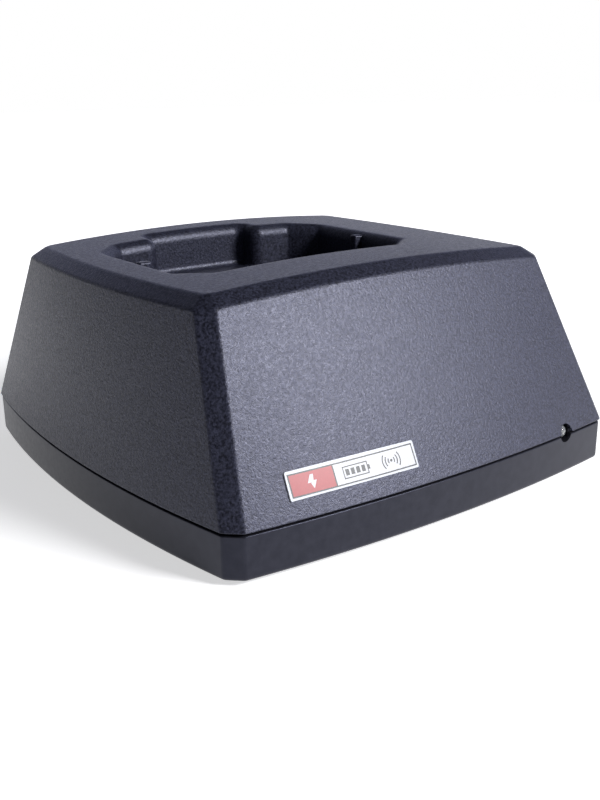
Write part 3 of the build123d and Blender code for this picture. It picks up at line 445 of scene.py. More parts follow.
def odd_crossings(loops, spot):
    """True where a line from the spot crosses the loops an odd number of times."""
    inside = False
    for loop in loops:
        for a, b in zip(loop, loop[1:] + loop[:1]):
            if (a[1] > spot.y) == (b[1] > spot.y):
                continue
            if spot.x < a[0] + (spot.y - a[1]) * (b[0] - a[0]) / (b[1] - a[1]):
                inside = not inside
    return inside


# %% [markdown]
# ## Laying up the cover
# The outer skin runs from the skirt up the leaning side, over two soft edges and across the top to
# the lip, then down the pocket. The inner skin follows it one wall thickness away, because a
# moulded part has an even wall. Both pockets, inside and outside, are the same steps with the
# outline grown by a different amount.

# %% Outer and inner skin
SKIRT_SOFT = 0.25
EDGE_SOFT = 0.6
SKIRT = 1.2
REBATE_TOP = PARTING + 2.55
SIDE_RINGS = 14
SHELF_ROUND, FLOOR_ROUND = 1.5, 0.9


def outer_profile(lines, n):
    """One upright line of the outer skin, from the skirt's lower face to the flat of the top."""
    outer, bevelled, flat = lines
    foot = [outer.at(n, PARTING + SKIRT_SOFT)]
    bottom = (*SKIRT_FOOT[n], PARTING)
    edge = outer.under_crown(n)
    low_edge = outer.at(n, edge[2] - BEVEL_SIDE * outer.lean(n))
    x, y, _ = bevelled.at(n, edge[2])
    high_edge = (x, y, TOP - crown_drop(x))
    x, y, _ = flat.at(n, edge[2])
    last = (x, y, TOP - crown_drop(x))
    below = toward(low_edge, foot[0], EDGE_SOFT)
    side = [
        tuple(a + (b - a) * k / SIDE_RINGS for a, b in zip(foot[0], below)) for k in range(1, SIDE_RINGS)
    ]
    rise = [below] + curve_round(below, low_edge, toward(low_edge, high_edge, EDGE_SOFT), 5)
    rise += [toward(low_edge, high_edge, EDGE_SOFT), toward(high_edge, low_edge, EDGE_SOFT)]
    rise += curve_round(rise[-1], high_edge, last, 5) + [last]
    start = [bottom] + curve_round(bottom, outer.at(n, PARTING), foot[0], 3)
    return start + foot + side + rise


def pocket_skin(shell, grow, top_drop, shelf, floor, lip=0.0, shelf_round=0.0, floor_round=0.0):
    """The pocket and its recess as one skin, hung from the top; returns the loop it hangs from."""
    rings = []
    if lip:
        for k in range(9):
            angle = math.radians(90 * k / 8)
            out = grow + lip * (1 - math.sin(angle))
            ring = [grown(s, out, 0) for s in MOUTH]
            rings.append([(x, y, TOP - crown_drop(x) - lip * (1 - math.cos(angle))) for x, y, _ in ring])
    else:
        ring = [grown(s, grow, 0) for s in MOUTH]
        rings.append([(x, y, TOP - crown_drop(x) - top_drop) for x, y, _ in ring])
    made = shell.stack(rings)
    hem = made[-1]
    count = len(MOUTH)
    recess = list(range(FIRST_BEHIND, LAST_BEHIND + 1))
    around = list(range(LAST_BEHIND, count)) + list(range(0, FIRST_BEHIND + 1))
    # Recess: wall, soft inner corner, shelf.
    rounds = [min(shelf_round, 0.4 * max(0.0, MOUTH[n][1] - MOUTH_LINE)) for n in recess]
    walls = [[hem[n].co.copy() for n in recess]]
    for k in range(6):
        angle = math.radians(90 * k / 5)
        walls.append([
            Vector(grown(MOUTH[n], grow - r * (1 - math.cos(angle)), shelf + r * (1 - math.sin(angle))))
            for n, r in zip(recess, rounds)
        ])
        if not shelf_round:
            break
    shell.stack(walls, closed=False)
    right_end, left_end = walls[-1][0], walls[-1][-1]
    pieces = 14
    front = [left_end.lerp(right_end, k / pieces) for k in range(pieces + 1)]
    rim = [tuple(p)[:2] for p in walls[-1]] + [tuple(p)[:2] for p in front[1:-1]]
    shell.fill([rim], lambda x, y: shelf)
    # Pocket: the wall below the shelf's line and round the rest of the mouth.
    upper = [hem[n].co.copy() for n in around]
    middle = [Vector(grown(MOUTH[n], grow, shelf)) for n in around]
    shell.stack([upper, middle], closed=False)
    low_samples = [MOUTH[n] for n in around] + [(p.x, MOUTH_LINE, 0.0, 1.0) for p in reversed(front[1:-1])]
    top_ring = [grown(s, grow, shelf) for s in low_samples]
    rings = [top_ring]
    for k in range(1, 5):
        z = shelf + (floor + floor_round - shelf) * k / 4
        rings.append([grown(s, grow, z) for s in low_samples])
    if floor_round:
        for k in range(1, 6):
            angle = math.radians(90 * k / 5)
            inward = grow - floor_round * (1 - math.cos(angle))
            rings.append([grown(s, inward, floor + floor_round * (1 - math.sin(angle))) for s in low_samples])
    shell.stack(rings)
    shell.fill([flattened(rings[-1])], lambda x, y: floor)
    return [tuple(v.co) for v in made[0]]


SKIRT_FOOT = case_outline(PARTING, SKIRT_SOFT)
lines = (UprightLines(0.0), UprightLines(BEVEL_TOP), UprightLines(BEVEL_TOP + EDGE_SOFT))
profiles = [outer_profile(lines, n) for n in range(LOOP_COUNT)]
cover_shell = Shell()
outer_rings = [[profile[k] for profile in profiles] for k in range(len(profiles[0]))]
cover_shell.stack(outer_rings)
mouth_loop = pocket_skin(
    cover_shell, 0.0, 0.0, RECESS_FLOOR, POCKET_FLOOR,
    lip=LIP, shelf_round=SHELF_ROUND, floor_round=FLOOR_ROUND,
)
cover_shell.fill([flattened(outer_rings[-1]), flattened(mouth_loop)], lambda x, y: TOP - crown_drop(x))

rebate, inner = UprightLines(SKIRT), UprightLines(WALL)
inner_rings = [
    outer_rings[0],
    [rebate.at(n, PARTING) for n in range(LOOP_COUNT)],
    [rebate.at(n, REBATE_TOP) for n in range(LOOP_COUNT)],
    [inner.at(n, REBATE_TOP) for n in range(LOOP_COUNT)],
    [inner.under_crown(n, WALL) for n in range(LOOP_COUNT)],
]
cover_shell.stack(inner_rings)
under_loop = pocket_skin(
    cover_shell, BUCKET_WALL, WALL, RECESS_FLOOR - FLOOR_THICK, POCKET_FLOOR - FLOOR_THICK
)
cover_shell.fill(
    [flattened(inner_rings[-1]), flattened(under_loop)], lambda x, y: TOP - crown_drop(x) - WALL
)
cover_piece = cover_shell.finish("grained_cover")
print("cover", len(cover_piece.data.polygons), "faces")


# %% [markdown]
# ## Carving and finishing
# Holes and ribs are added with exact booleans, which work here because both skins close into one
# watertight form. Afterwards the mesh is scaled to metres, and weighted normals make the large
# faces win over the small ones in every soft edge, so that reflections stay calm on the flats.

# %% Boolean tools
SHARP_ANGLE = math.radians(38)


def settle(piece):
    """Turns a piece's live modifiers into its plain mesh."""
    graph = bpy.context.evaluated_depsgraph_get()
    mesh = bpy.data.meshes.new_from_object(piece.evaluated_get(graph))
    piece.modifiers.clear()
    piece.data = mesh


def carve(piece, tool, operation="DIFFERENCE"):
    step = piece.modifiers.new("carve", "BOOLEAN")
    step.operation = operation
    step.solver = "EXACT"
    step.object = tool
    settle(piece)
    bpy.data.objects.remove(tool)


def rods(name, places, radius, start, length, along="Z", soft=0.0):
    """Round tools at (a, b) places: along Z at (x, y), or along Y at (x, z)."""
    form = bmesh.new()
    for a, b in places:
        middle = start + length / 2
        place = Matrix.Translation((a, b, middle))
        if along == "Y":
            place = Matrix.Translation((a, middle, b)) @ Matrix.Rotation(math.radians(90), 4, "X")
        bmesh.ops.create_cone(
            form, cap_ends=True, segments=48, radius1=radius, radius2=radius, depth=length, matrix=place
        )
    return tool_from(form, name, soft)


def blocks(name, boxes, soft=0.0):
    """Box tools from (low corner, high corner) pairs."""
    form = bmesh.new()
    for low, high in boxes:
        middle = [(a + b) / 2 for a, b in zip(low, high)]
        size = [b - a for a, b in zip(low, high)]
        place = Matrix.Translation(middle) @ Matrix.Diagonal((*size, 1))
        bmesh.ops.create_cube(form, size=1, matrix=place)
    return tool_from(form, name, soft)


def tool_from(form, name, soft):
    if soft:
        bmesh.ops.bevel(form, geom=list(form.edges), offset=soft, segments=3, profile=0.5, affect="EDGES")
    mesh = bpy.data.meshes.new(name)
    form.to_mesh(mesh)
    form.free()
    return placed(name, mesh)


def finish_moulding(piece, material, slot, *nodes):
    """Scales a moulding to metres, smooths its shading and puts it in place of CAD nodes."""
    piece.data.transform(Matrix.Scale(MM, 4))
    form = bmesh.new()
    form.from_mesh(piece.data)
    bmesh.ops.dissolve_degenerate(form, edges=form.edges, dist=2e-6)
    bmesh.ops.triangulate(form, faces=[face for face in form.faces if len(face.verts) > 4])
    for face in form.faces:
        face.smooth = True
    for edge in form.edges:
        edge.smooth = edge.calc_face_angle(math.pi) < SHARP_ANGLE
    form.to_mesh(piece.data)
    form.free()
    calm = piece.modifiers.new("calm", "WEIGHTED_NORMAL")
    calm.keep_sharp = True
    calm.weight = 80
    settle(piece)
    piece.data.materials.clear()
    piece.data.materials.append(material)
    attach(piece, HOUSING)
    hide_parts(*nodes)
    print(piece.name, len(piece.data.polygons), "faces")


# %% Ribs and holes of the cover
GUIDE_HALF, GUIDE_REACH, GUIDE_TOP, GUIDE_SHIFT = 1.1, 1.5, 49.8, -0.8
GUIDE_SOFT = 0.5
LED_PLACE, LED_HOLE = (36.2, PARTING), 2.1
LED_TOOL = (-64.0, 14.0)   # where the hole's tool starts in front of the case, and its length
CONTACT_PITCH, CONTACT_Y, CONTACT_HOLE = 8.0, 8.0, 1.8
CONTACTS = [(POCKET_PLACE[0] + n * CONTACT_PITCH, CONTACT_Y) for n in (-1, 0, 1)]
WINDOW_LOW, WINDOW_HIGH = (31.1, 48.0), (41.9, 64.0, 20.7)
guide_y = POCKET_PLACE[1] + GUIDE_SHIFT
guides = []
for side in (-1, 1):
    wall = POCKET_PLACE[0] + side * HALF_MOUTH[0]
    guides.append((
        (wall - GUIDE_REACH, guide_y - GUIDE_HALF, POCKET_FLOOR - 1),
        (wall + GUIDE_REACH, guide_y + GUIDE_HALF, GUIDE_TOP),
    ))
carve(cover_piece, blocks("guides", guides, soft=GUIDE_SOFT), "UNION")
carve(cover_piece, rods("light_hole", [LED_PLACE], LED_HOLE, *LED_TOOL, "Y"))
carve(cover_piece, rods("contact_holes", CONTACTS, CONTACT_HOLE, POCKET_FLOOR - 4, 8.0))
carve(cover_piece, blocks("window", [((*WINDOW_LOW, PARTING - 0.5), WINDOW_HIGH)]))
finish_moulding(cover_piece, GRAINED, "cover_plastic", "cover")


# %% [markdown]
# ## The tray
# The lower half is a plain tray of smoother black plastic. It uses the same outline as the cover,
# set back a little, so the seam reads as a thin dark line with the cover overhanging it. A tongue
# rises inside the cover, and the underside has seats for feet and label, and slots for air.

# %% Tray skin
SEAM_GAP, SEAM_STEP = 0.6, 0.3
TRAY_SOFT, TRAY_RIM_SOFT = 1.0, 0.3
INNER_FLOOR = 3.4
TONGUE_TOP = PARTING + 2.4
TONGUE_FOOT, TONGUE_FACE = 1.35, 1.4   # insets of the tongue's outer face
TRAY_PITCH = 8.0
rim_z = PARTING - SEAM_GAP
low_z = FOOT_LINE + TRAY_SOFT


def tray_ring(inset, z):
    return [(x, y, z) for x, y in case_outline(PARTING, inset)]


def soft_rings(first, corner, last, steps):
    """Rings through a soft edge, given as (inset, height) pairs."""
    return [tray_ring(*pair) for pair in [first] + curve_round(first, corner, last, steps) + [last]]


tray_shell = Shell()
tray_rings = soft_rings((SEAM_STEP + TRAY_SOFT, FOOT_LINE), (SEAM_STEP, FOOT_LINE), (SEAM_STEP, low_z), 6)
tray_rings += [tray_ring(SEAM_STEP, low_z + (rim_z - FOOT_LINE - TRAY_SOFT) * k / 5) for k in range(1, 5)]
tray_rings += soft_rings(
    (SEAM_STEP, rim_z - TRAY_RIM_SOFT), (SEAM_STEP, rim_z), (SEAM_STEP + TRAY_RIM_SOFT, rim_z), 3
)
tongue = ((TONGUE_FOOT, rim_z), (TONGUE_FACE, TONGUE_TOP), (WALL, TONGUE_TOP), (WALL, INNER_FLOOR))
tray_rings += [tray_ring(*pair) for pair in tongue]
tray_shell.stack(tray_rings)
tray_shell.fill([flattened(tray_rings[0])], lambda x, y: FOOT_LINE, TRAY_PITCH)
tray_shell.fill([flattened(tray_rings[-1])], lambda x, y: INNER_FLOOR, TRAY_PITCH)
tray_piece = tray_shell.finish("satin_tray")


# %% Seats, slots and holes of the tray
FEET = [(sx * 44.9, sy * 47.65) for sx in (-1, 1) for sy in (-1, 1)]
SCREWS = [(sx * 47.0, sy * 46.5) for sx in (-1, 1) for sy in (-1, 1)]
FOOT_SEAT, SCREW_SEAT = 6.0, 3.2       # radii
LABEL_SEAT = ((-32.8, -7.2, 0.0), (19.6, 19.2, FOOT_LINE + 0.3))
VENT_ENDS, VENT_PITCH, VENT_HALF = (30.0, 44.0), 6.0, 1.0
BELOW = -1.0                           # where the tools for the underside start
carve(tray_piece, rods("foot_seats", FEET, FOOT_SEAT, BELOW, 2.8))
carve(tray_piece, rods("screw_seats", SCREWS, SCREW_SEAT, BELOW, 6.5))
carve(tray_piece, blocks("label_seat", [LABEL_SEAT]))
for n in range(-3, 4):
    y = VENT_PITCH * n
    slot_tool = rods("vent_ends", [(x, y) for x in VENT_ENDS], VENT_HALF, BELOW, 6.0)
    box = ((VENT_ENDS[0], y - VENT_HALF, BELOW), (VENT_ENDS[1], y + VENT_HALF, 5.0))
    carve(slot_tool, blocks("vent", [box]), "UNION")
    carve(tray_piece, slot_tool)
carve(tray_piece, rods("light_notch", [LED_PLACE], LED_HOLE, *LED_TOOL, "Y"))
carve(tray_piece, blocks("window_notch", [((*WINDOW_LOW, rim_z), WINDOW_HIGH)]))
finish_moulding(tray_piece, SATIN, "tray_plastic", "base_tray")


# %% [markdown]
# ## The remaining finishes
# The feet, fasteners, board and wiring are small, so each gets one or two noises at its scale:
# brushed lines along one axis for plated steel, a weave-fine relief for the board, and soft
# mottling for moulded nylon and rubber.

# %% Finishes for the small parts
def mottled(name, low, high, roughness, size_mm, relief_mm, metallic=0.0):
    material = start_material(name, low, roughness, metallic)
    grain = noise(material, size_mm, detail=3.0)
    tone(material, grain, low, high)
    gloss(material, noise(material, 2.5 * size_mm), max(roughness - 0.06, 0.05), roughness + 0.06)
    bump(material, grain, relief_mm, 0.6)
    return material


def brushed_metal(name, color, roughness, along=(1, 1, 14)):
    material = start_material(name, color, roughness, metallic=1.0)
    lines = noise(material, 0.5, detail=2.0, stretch=along)
    dark = tuple(0.82 * part for part in color)
    tone(material, lines, dark, color)
    gloss(material, lines, max(roughness - 0.08, 0.08), roughness + 0.1)
    bump(material, lines, 0.003, 0.4)
    return material


FINISHES = {
    "rubber": mottled("foot_rubber_black", (0.012, 0.012, 0.012), (0.022, 0.021, 0.021), 0.78, 0.3, 0.02),
    "label": mottled("silver_film", (0.55, 0.56, 0.58), (0.66, 0.67, 0.69), 0.34, 1.2, 0.004),
    "steel": brushed_metal("zinc_plate", (0.62, 0.62, 0.6), 0.34),
    "tin": brushed_metal("tinned_copper", (0.74, 0.74, 0.72), 0.3),
    "nickel": brushed_metal("nickel_plate", (0.72, 0.7, 0.66), 0.22, along=(1, 12, 1)),
    "gold": brushed_metal("gold_flash", (0.86, 0.62, 0.28), 0.24),
    "brass": brushed_metal("tag_brass", (0.76, 0.6, 0.32), 0.32),
    "spring": brushed_metal("music_wire", (0.5, 0.5, 0.5), 0.3),
    "sink": brushed_metal("black_anodised", (0.03, 0.03, 0.033), 0.42, along=(1, 1, 10)),
    "board": mottled("solder_mask", (0.006, 0.05, 0.018), (0.01, 0.075, 0.028), 0.32, 0.8, 0.01),
    "nylon": mottled("natural_nylon", (0.72, 0.7, 0.62), (0.8, 0.78, 0.7), 0.5, 1.5, 0.008),
    "sleeve": mottled("capacitor_sleeve", (0.008, 0.014, 0.06), (0.014, 0.022, 0.085), 0.28, 2.0, 0.004),
    "resin": mottled("moulding_resin", (0.012, 0.012, 0.012), (0.025, 0.025, 0.024), 0.6, 0.25, 0.01),
    "lacquer": mottled("resistor_lacquer", (0.5, 0.36, 0.2), (0.6, 0.45, 0.27), 0.4, 0.7, 0.006),
    "socket": mottled("socket_black", (0.01, 0.01, 0.011), (0.018, 0.018, 0.02), 0.3, 1.0, 0.004),
    "nylon_black": mottled("black_nylon", (0.012, 0.012, 0.012), (0.024, 0.024, 0.024), 0.5, 0.8, 0.008),
    "pvc_black": mottled("pvc_black", (0.01, 0.01, 0.01), (0.018, 0.018, 0.018), 0.4, 1.0, 0.004),
    "pvc_yellow": mottled("pvc_yellow", (0.6, 0.42, 0.02), (0.7, 0.5, 0.04), 0.4, 1.0, 0.004),
    "pvc_red": mottled("pvc_red", (0.45, 0.01, 0.01), (0.55, 0.02, 0.02), 0.4, 1.0, 0.004),
}
WHO = {
    "rubber": ["foot_front_left", "foot_back_left", "foot_front_right", "foot_back_right"],
    "label": ["rating_label"],
    "steel": ["case_screws", "bracket_screws", "board_screws", "regulator_screw"],
    "tin": ["chip_legs", "regulator_tab", "led_leads"],
    "nickel": ["inlet_pin", "inlet_leaf"],
    "gold": ["contact_pin_left", "contact_pin_centre", "contact_pin_right"],
    "brass": ["contact_tags"],
    "spring": ["contact_spring_left", "contact_spring_centre", "contact_spring_right"],
    "sink": ["heat_sink"],
    "board": ["main_board"],
    "nylon": ["board_header", "wire_plug"],
    "sleeve": ["capacitor_large", "capacitors_small"],
    "resin": ["charge_chip", "regulator_body", "diodes"],
    "lacquer": ["resistors"],
    "socket": ["inlet_body"],
    "nylon_black": ["contact_block", "contact_bracket"],
    "pvc_black": ["contact_wire_left"],
    "pvc_yellow": ["contact_wire_centre"],
    "pvc_red": ["contact_wire_right"],
}
for finish, names in WHO.items():
    dress(names, FINISHES[finish])
print(len(FINISHES), "finishes on", sum(len(names) for names in WHO.values()), "nodes")


# %% [markdown]
# ## Status light
# The light is a clear 3 mm diode set back in its hole. Clear epoxy is glass-like, so it is a
# transmissive shader with a little haze.

# %% Clear lens
def clear_lens():
    material = start_material("clear_epoxy", (0.9, 0.93, 0.95), 0.06, ior=1.53)
    shader_of(material).inputs["Transmission Weight"].default_value = 0.85
    gloss(material, noise(material, 1.2), 0.04, 0.1)
    bump(material, noise(material, 2.0), 0.004, 0.3)
    return material


dress(["status_led"], clear_lens())


# %% [markdown]
# ## Contact springs
# Each sprung contact presses a small coil spring, and a CAD node keeps its shape when a joint
# moves. The springs are wound here by Geometry Nodes and set in place of the CAD nodes as plain meshes.

# %% Spring tree
def spring_tree(material):
    """Winds a round wire into a coil: sizes in metres, with its lower end at height zero."""
    tree = bpy.data.node_groups.new("coil_spring", "GeometryNodeTree")
    for name in ("Turns", "Radius", "Rise", "Wire radius"):
        tree.interface.new_socket(name, in_out="INPUT", socket_type="NodeSocketFloat")
    tree.interface.new_socket("Geometry", in_out="OUTPUT", socket_type="NodeSocketGeometry")
    nodes, links = tree.nodes, tree.links
    sizes, result = nodes.new("NodeGroupInput"), nodes.new("NodeGroupOutput")
    coil = nodes.new("GeometryNodeCurveSpiral")
    coil.inputs["Resolution"].default_value = 28
    links.new(sizes.outputs["Turns"], coil.inputs["Rotations"])
    links.new(sizes.outputs["Radius"], coil.inputs["Start Radius"])
    links.new(sizes.outputs["Radius"], coil.inputs["End Radius"])
    links.new(sizes.outputs["Rise"], coil.inputs["Height"])
    wire = nodes.new("GeometryNodeCurvePrimitiveCircle")
    wire.inputs["Resolution"].default_value = 10
    links.new(sizes.outputs["Wire radius"], wire.inputs["Radius"])
    wound = nodes.new("GeometryNodeCurveToMesh")
    wound.inputs["Fill Caps"].default_value = True
    links.new(coil.outputs["Curve"], wound.inputs["Curve"])
    links.new(wire.outputs["Curve"], wound.inputs["Profile Curve"])
    real = nodes.new("GeometryNodeRealizeInstances")
    links.new(wound.outputs["Mesh"], real.inputs["Geometry"])
    finish = nodes.new("GeometryNodeSetMaterial")
    finish.inputs["Material"].default_value = material
    links.new(real.outputs["Geometry"], finish.inputs["Geometry"])
    links.new(finish.outputs["Geometry"], result.inputs["Geometry"])
    return tree


# %% Springs
SPRING_TURNS = 4.0
WIRE_RADIUS = 0.2 * MM
COIL = spring_tree(FINISHES["spring"])
for side_name in ("left", "centre", "right"):
    node = f"contact_spring_{side_name}"
    low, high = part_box(node)
    sizes = {
        "Turns": SPRING_TURNS, "Radius": (high.x - low.x) / 2 - WIRE_RADIUS,
        "Rise": high.z - low.z - 2 * WIRE_RADIUS, "Wire radius": WIRE_RADIUS,
    }
    winder = placed("winder", bpy.data.meshes.new("winder"))
    coil_maker = winder.modifiers.new("coil", "NODES")
    coil_maker.node_group = COIL
    for socket in COIL.interface.items_tree:
        if socket.in_out == "INPUT":
            coil_maker[socket.identifier] = sizes[socket.name]
    ready = winder.evaluated_get(bpy.context.evaluated_depsgraph_get())
    coil_mesh = bpy.data.meshes.new_from_object(ready)
    bpy.data.objects.remove(winder)
    middle = (low + high) / 2
    coil_mesh.transform(Matrix.Translation((middle.x, middle.y, low.z + WIRE_RADIUS)))
    coil_mesh.name = f"coil_{side_name}"
    outside = bmesh.new()
    outside.from_mesh(coil_mesh)
    bmesh.ops.recalc_face_normals(outside, faces=outside.faces)
    for face in outside.faces:
        face.smooth = len(face.verts) == 4
    outside.to_mesh(coil_mesh)
    outside.free()
    spring = placed(f"coil_{side_name}", coil_mesh)
    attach(spring, HOUSING)
    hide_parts(node)
    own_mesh(spring)


# %% [markdown]
# ## The badge
# The badge is a thin printed plate that follows the bowed, sloping front. Its prints are laid on
# the CAD plate by casting rays at it, so they bend exactly as it does. The printing is generic:
# a charging bolt on red, and a battery and signal arcs on white.

# %% Badge surface
plate = NODES["badge_plate"]
plate_low, plate_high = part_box("badge_plate")
PLATE_TREE = BVHTree.FromPolygons(
    [v.co.copy() for v in plate.data.vertices], [list(p.vertices) for p in plate.data.polygons]
)
BADGE_X = (plate_low.x + plate_high.x) / 2
BADGE_Z = (plate_low.z + plate_high.z) / 2
HALF_LENGTH = (plate_high.x - plate_low.x) / 2 / MM
SLOPE = math.atan2(19.5, 38.3)         # the front's lean, from its setback over its height
HALF_HEIGHT = 2.75


def on_badge(along, up, lift):
    """The point on the badge at (along, up) millimetres from its middle, raised by lift mm."""
    x = BADGE_X + along * MM
    z = BADGE_Z + up * MM * math.cos(SLOPE)
    hit = PLATE_TREE.ray_cast(Vector((x, plate_low.y - 0.02, z)), Vector((0, 1, 0)))[0]
    return hit + Vector((0, -math.cos(SLOPE), math.sin(SLOPE))) * lift * MM


def laid_print(name, patches, lift, material):
    """Flat prints on the badge: each patch is a closed loop of (along, up) points in mm."""
    shape = bmesh.new()
    for loop in patches:
        corners = [shape.verts.new(on_badge(along, up, lift)) for along, up in loop]
        face = shape.faces.new(corners)
        face.normal_update()
        if face.normal.y > 0:
            face.normal_flip()
    mesh = bpy.data.meshes.new(name)
    shape.to_mesh(mesh)
    shape.free()
    piece = placed(name, mesh)
    mesh.materials.append(material)
    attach(piece, HOUSING)
    return piece


def strip(left, right, low, high, step=0.8):
    """A rectangle cut into short cells, so that it can follow the bow."""
    count = max(1, round((right - left) / step))
    edges = [left + (right - left) * n / count for n in range(count + 1)]
    return [[(a, low), (b, low), (b, high), (a, high)] for a, b in zip(edges, edges[1:])]


print("badge", round(2 * HALF_LENGTH, 2), "mm long")


# %% Inks
def ink(name, color):
    material = start_material(name, color, 0.36)
    low = tuple(0.9 * part for part in color)
    tone(material, noise(material, 0.5), low, color)
    bump(material, noise(material, 0.6), 0.003, 0.3)
    return material


WHITE_INK = ink("ink_white", (0.5, 0.51, 0.55))
RED_INK = ink("ink_red", (0.3, 0.012, 0.018))
DARK_INK = ink("ink_dark", (0.006, 0.007, 0.01))
BORDER = ink("badge_border", (0.5, 0.52, 0.57))
dress(["badge_plate"], BORDER)


# %% Fields and line frame
MARGIN = 0.5
LINE = 0.28
RED_LENGTH = 10.2
FIELD_LIFT, LINE_LIFT, MARK_LIFT = 0.02, 0.025, 0.03
left, right = -HALF_LENGTH + MARGIN, HALF_LENGTH - MARGIN
low, high = -HALF_HEIGHT + MARGIN, HALF_HEIGHT - MARGIN
split = -HALF_LENGTH + RED_LENGTH
laid_print("badge_red", strip(left + LINE, split, low + LINE, high - LINE), FIELD_LIFT, RED_INK)
laid_print(
    "badge_white", strip(split + LINE, right - LINE, low + LINE, high - LINE), FIELD_LIFT, WHITE_INK
)
frame_lines = strip(left, right, low, low + LINE) + strip(left, right, high - LINE, high)
for edge in (left, split, right - LINE):
    far = edge + LINE
    frame_lines.append([(edge, low + LINE), (far, low + LINE), (far, high - LINE), (edge, high - LINE)])
laid_print("badge_lines", frame_lines, LINE_LIFT, DARK_INK)


# %% Pictograms
def shifted(loop, along):
    return [(along + a, b) for a, b in loop]


def upright_box(width, half):
    return [(0, -half), (width, -half), (width, half), (0, half)]


def ring_arc(radius, width, start, end, steps=7):
    """Quads along an arc, as (along, up) loops."""
    angles = [math.radians(start + (end - start) * n / steps) for n in range(steps + 1)]
    inner, outer = radius - width / 2, radius + width / 2
    return [
        [(inner * math.cos(a), inner * math.sin(a)), (outer * math.cos(a), outer * math.sin(a)),
         (outer * math.cos(b), outer * math.sin(b)), (inner * math.cos(b), inner * math.sin(b))]
        for a, b in zip(angles, angles[1:])
    ]


BOLT_TOP = [(-0.15, 1.35), (-1.0, -0.15), (-0.1, -0.15), (0.35, 0.2), (0.55, 1.35)]
BOLT_FOOT = [(0.15, -1.35), (1.0, 0.15), (0.1, 0.2), (-0.1, -0.15), (-0.35, -0.25)]
middle = (left + split) / 2
laid_print("badge_bolt", [shifted(BOLT_TOP, middle), shifted(BOLT_FOOT, middle)], MARK_LIFT, WHITE_INK)

BATTERY_HALF, BATTERY_RISE, OUTLINE = 2.9, 1.0, 0.22
CELL_COUNT, CELL_PITCH, FIRST_CELL = 4, 1.25, 0.55
battery_at, waves_at = split + 5.0, split + 13.6
battery_left, battery_right = battery_at - BATTERY_HALF, battery_at + BATTERY_HALF
marks = strip(battery_left, battery_right, BATTERY_RISE, BATTERY_RISE + OUTLINE)
marks += strip(battery_left, battery_right, -BATTERY_RISE - OUTLINE, -BATTERY_RISE)
for edge in (-BATTERY_HALF, BATTERY_HALF - OUTLINE):
    marks.append(shifted(upright_box(OUTLINE, BATTERY_RISE), battery_at + edge))
marks.append(shifted(upright_box(0.45, 0.45), battery_right))
for n in range(CELL_COUNT):
    marks.append(shifted(upright_box(0.85, 0.62), battery_left + FIRST_CELL + CELL_PITCH * n))
for radius in (0.75, 1.45, 2.15):
    for side in (0, 180):
        marks += [shifted(loop, waves_at) for loop in ring_arc(radius, 0.26, side - 38, side + 38)]
marks += [shifted(loop, waves_at) for loop in ring_arc(0.15, 0.3, 0, 360, steps=10)]
laid_print("badge_marks", marks, MARK_LIFT, DARK_INK)
print("badge prints laid")


# %% [markdown]
# ## Studio
# A pale floor, a surround that is white at the horizon and dark above, and one soft box. The floor
# glows, less close to the case: that dimming is painted shade round its foot. The soft box stands
# in front and to the right, where its glow slides over the upper left of the sloping front as the
# camera sees it. The surround dims to the left, so that the left side stays darker than the front.

# %% Floor and surround
def map_range(nodes, from_low, from_high, to_low, to_high):
    """A Map Range node with its four limits set."""
    node = nodes.new("ShaderNodeMapRange")
    limits = {"From Min": from_low, "From Max": from_high, "To Min": to_low, "To Max": to_high}
    for socket, value in limits.items():
        node.inputs[socket].default_value = value
    return node


FLOOR_HALF = 3.0
floor_mesh = bpy.data.meshes.new("floor")
floor_mesh.from_pydata(
    [(sx * FLOOR_HALF, sy * FLOOR_HALF, 0) for sx, sy in ((-1, -1), (1, -1), (1, 1), (-1, 1))],
    [], [(0, 1, 2, 3)],
)
floor = placed("floor", floor_mesh)
floor_material = start_material("pale_floor_painted_shade", (0.86, 0.86, 0.87), 0.9)
shader_of(floor_material).inputs["Emission Color"].default_value = (1, 1, 1, 1)
glow, glow_links = floor_material.node_tree.nodes, floor_material.node_tree.links
spot = glow.new("ShaderNodeTexCoord")
distance = glow.new("ShaderNodeVectorMath")
distance.operation = "LENGTH"
glow_links.new(spot.outputs["Object"], distance.inputs[0])
# The floor's glow is 0.6 within 10 cm of the middle and full beyond 30 cm: painted shade on the floor round
# the case.
floor_glow_painted_shade = map_range(glow, 0.1, 0.3, 0.6, 1.0)
glow_links.new(distance.outputs["Value"], floor_glow_painted_shade.inputs["Value"])
glow_links.new(floor_glow_painted_shade.outputs["Result"], shader_of(floor_material).inputs["Emission Strength"])
floor_mesh.materials.append(floor_material)

world = bpy.data.worlds.new("surround")
bpy.context.scene.world = world
world.use_nodes = True
sky, sky_links = world.node_tree.nodes, world.node_tree.links
place = sky.new("ShaderNodeTexCoord")
split_up = sky.new("ShaderNodeSeparateXYZ")
sky_links.new(place.outputs["Generated"], split_up.inputs["Vector"])
fade = sky.new("ShaderNodeValToRGB")
fade.color_ramp.interpolation = "EASE"
fade.color_ramp.elements[0].position = 0.09
fade.color_ramp.elements[0].color = (1.0, 1.0, 1.0, 1)
haze = fade.color_ramp.elements.new(0.2)
haze.color = (0.66, 0.7, 1.0, 1)
fade.color_ramp.elements[-1].position = 0.6
fade.color_ramp.elements[-1].color = (0.04, 0.04, 0.045, 1)
sky_links.new(split_up.outputs["Z"], fade.inputs["Fac"])
sideways = map_range(sky, 0.05, -0.35, 1.0, 0.12)
sideways.interpolation_type = "SMOOTHSTEP"
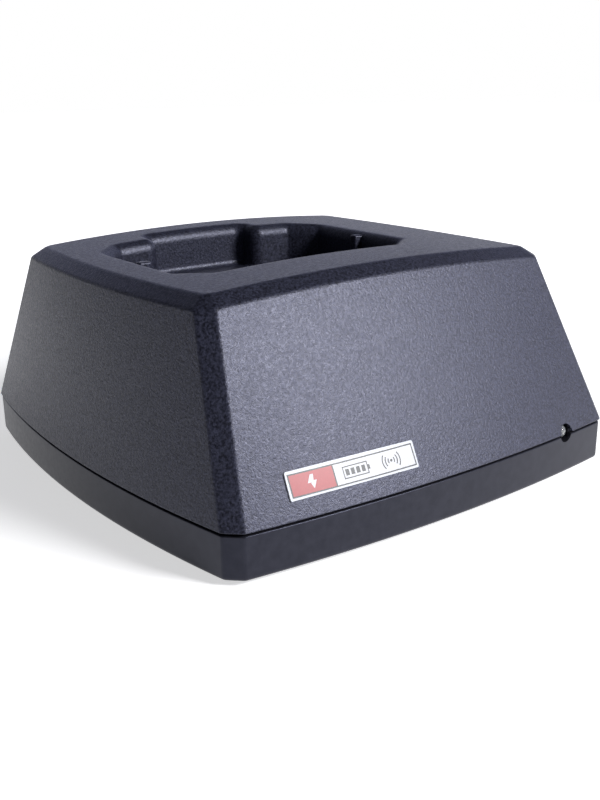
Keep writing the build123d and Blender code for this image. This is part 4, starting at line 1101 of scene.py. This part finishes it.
sky_links.new(split_up.outputs["X"], sideways.inputs["Value"])
shade = sky.new("ShaderNodeVectorMath")
shade.operation = "SCALE"
sky_links.new(fade.outputs["Color"], shade.inputs[0])
sky_links.new(sideways.outputs["Result"], shade.inputs["Scale"])
sky_links.new(shade.outputs["Vector"], sky["Background"].inputs["Color"])
sky["Background"].inputs["Strength"].default_value = 1.0
bpy.context.scene.view_settings.view_transform = "Standard"


# %% Soft box
def soft_box(name, place, target, size, power):
    """A square area light in metres and watts, turned towards its target."""
    light = bpy.data.lights.new(name, "AREA")
    light.shape = "RECTANGLE"
    light.size = light.size_y = size
    light.energy = power
    lamp = placed(name, light)
    direction = Vector(target) - Vector(place)
    turn = direction.to_track_quat("-Z", "Y").to_matrix().to_4x4()
    lamp.matrix_world = Matrix.Translation(place) @ turn


soft_box("key", (0.40, -0.74, 0.54), (0, 0, 0.03), 0.3, 12.0)


# %% [markdown]
# ## Camera
# The lens and place come from a perspective fit of the case's outline: a moderate focal length
# about 24 cm from the case, looking down by 18 degrees past its front left corner.

# %% Camera
FOCAL_SHARE = 1.2269      # focal length over the picture's long side
SENSOR = 36.0
YAW, PITCH, ROLL = (math.radians(a) for a in (-36.691, 17.946, -0.611))
CAMERA_PLACE = Vector((-135.64, -187.417, 86.261)) * MM

view = Vector((-math.sin(YAW) * math.cos(PITCH), math.cos(YAW) * math.cos(PITCH), -math.sin(PITCH)))
side = Vector((math.cos(YAW), math.sin(YAW), 0))
up = side.cross(view)
right_axis = side * math.cos(ROLL) + up * math.sin(ROLL)
up_axis = up * math.cos(ROLL) - side * math.sin(ROLL)
lens = bpy.data.cameras.new("camera")
lens.sensor_width = SENSOR
lens.lens = FOCAL_SHARE * SENSOR
lens.clip_start = 0.01
camera = placed("camera", lens)
turned = Matrix((right_axis, up_axis, -view)).transposed().to_4x4()
camera.matrix_world = Matrix.Translation(CAMERA_PLACE) @ turned
bpy.context.scene.camera = camera
print("camera", round(lens.lens, 2), "mm lens")
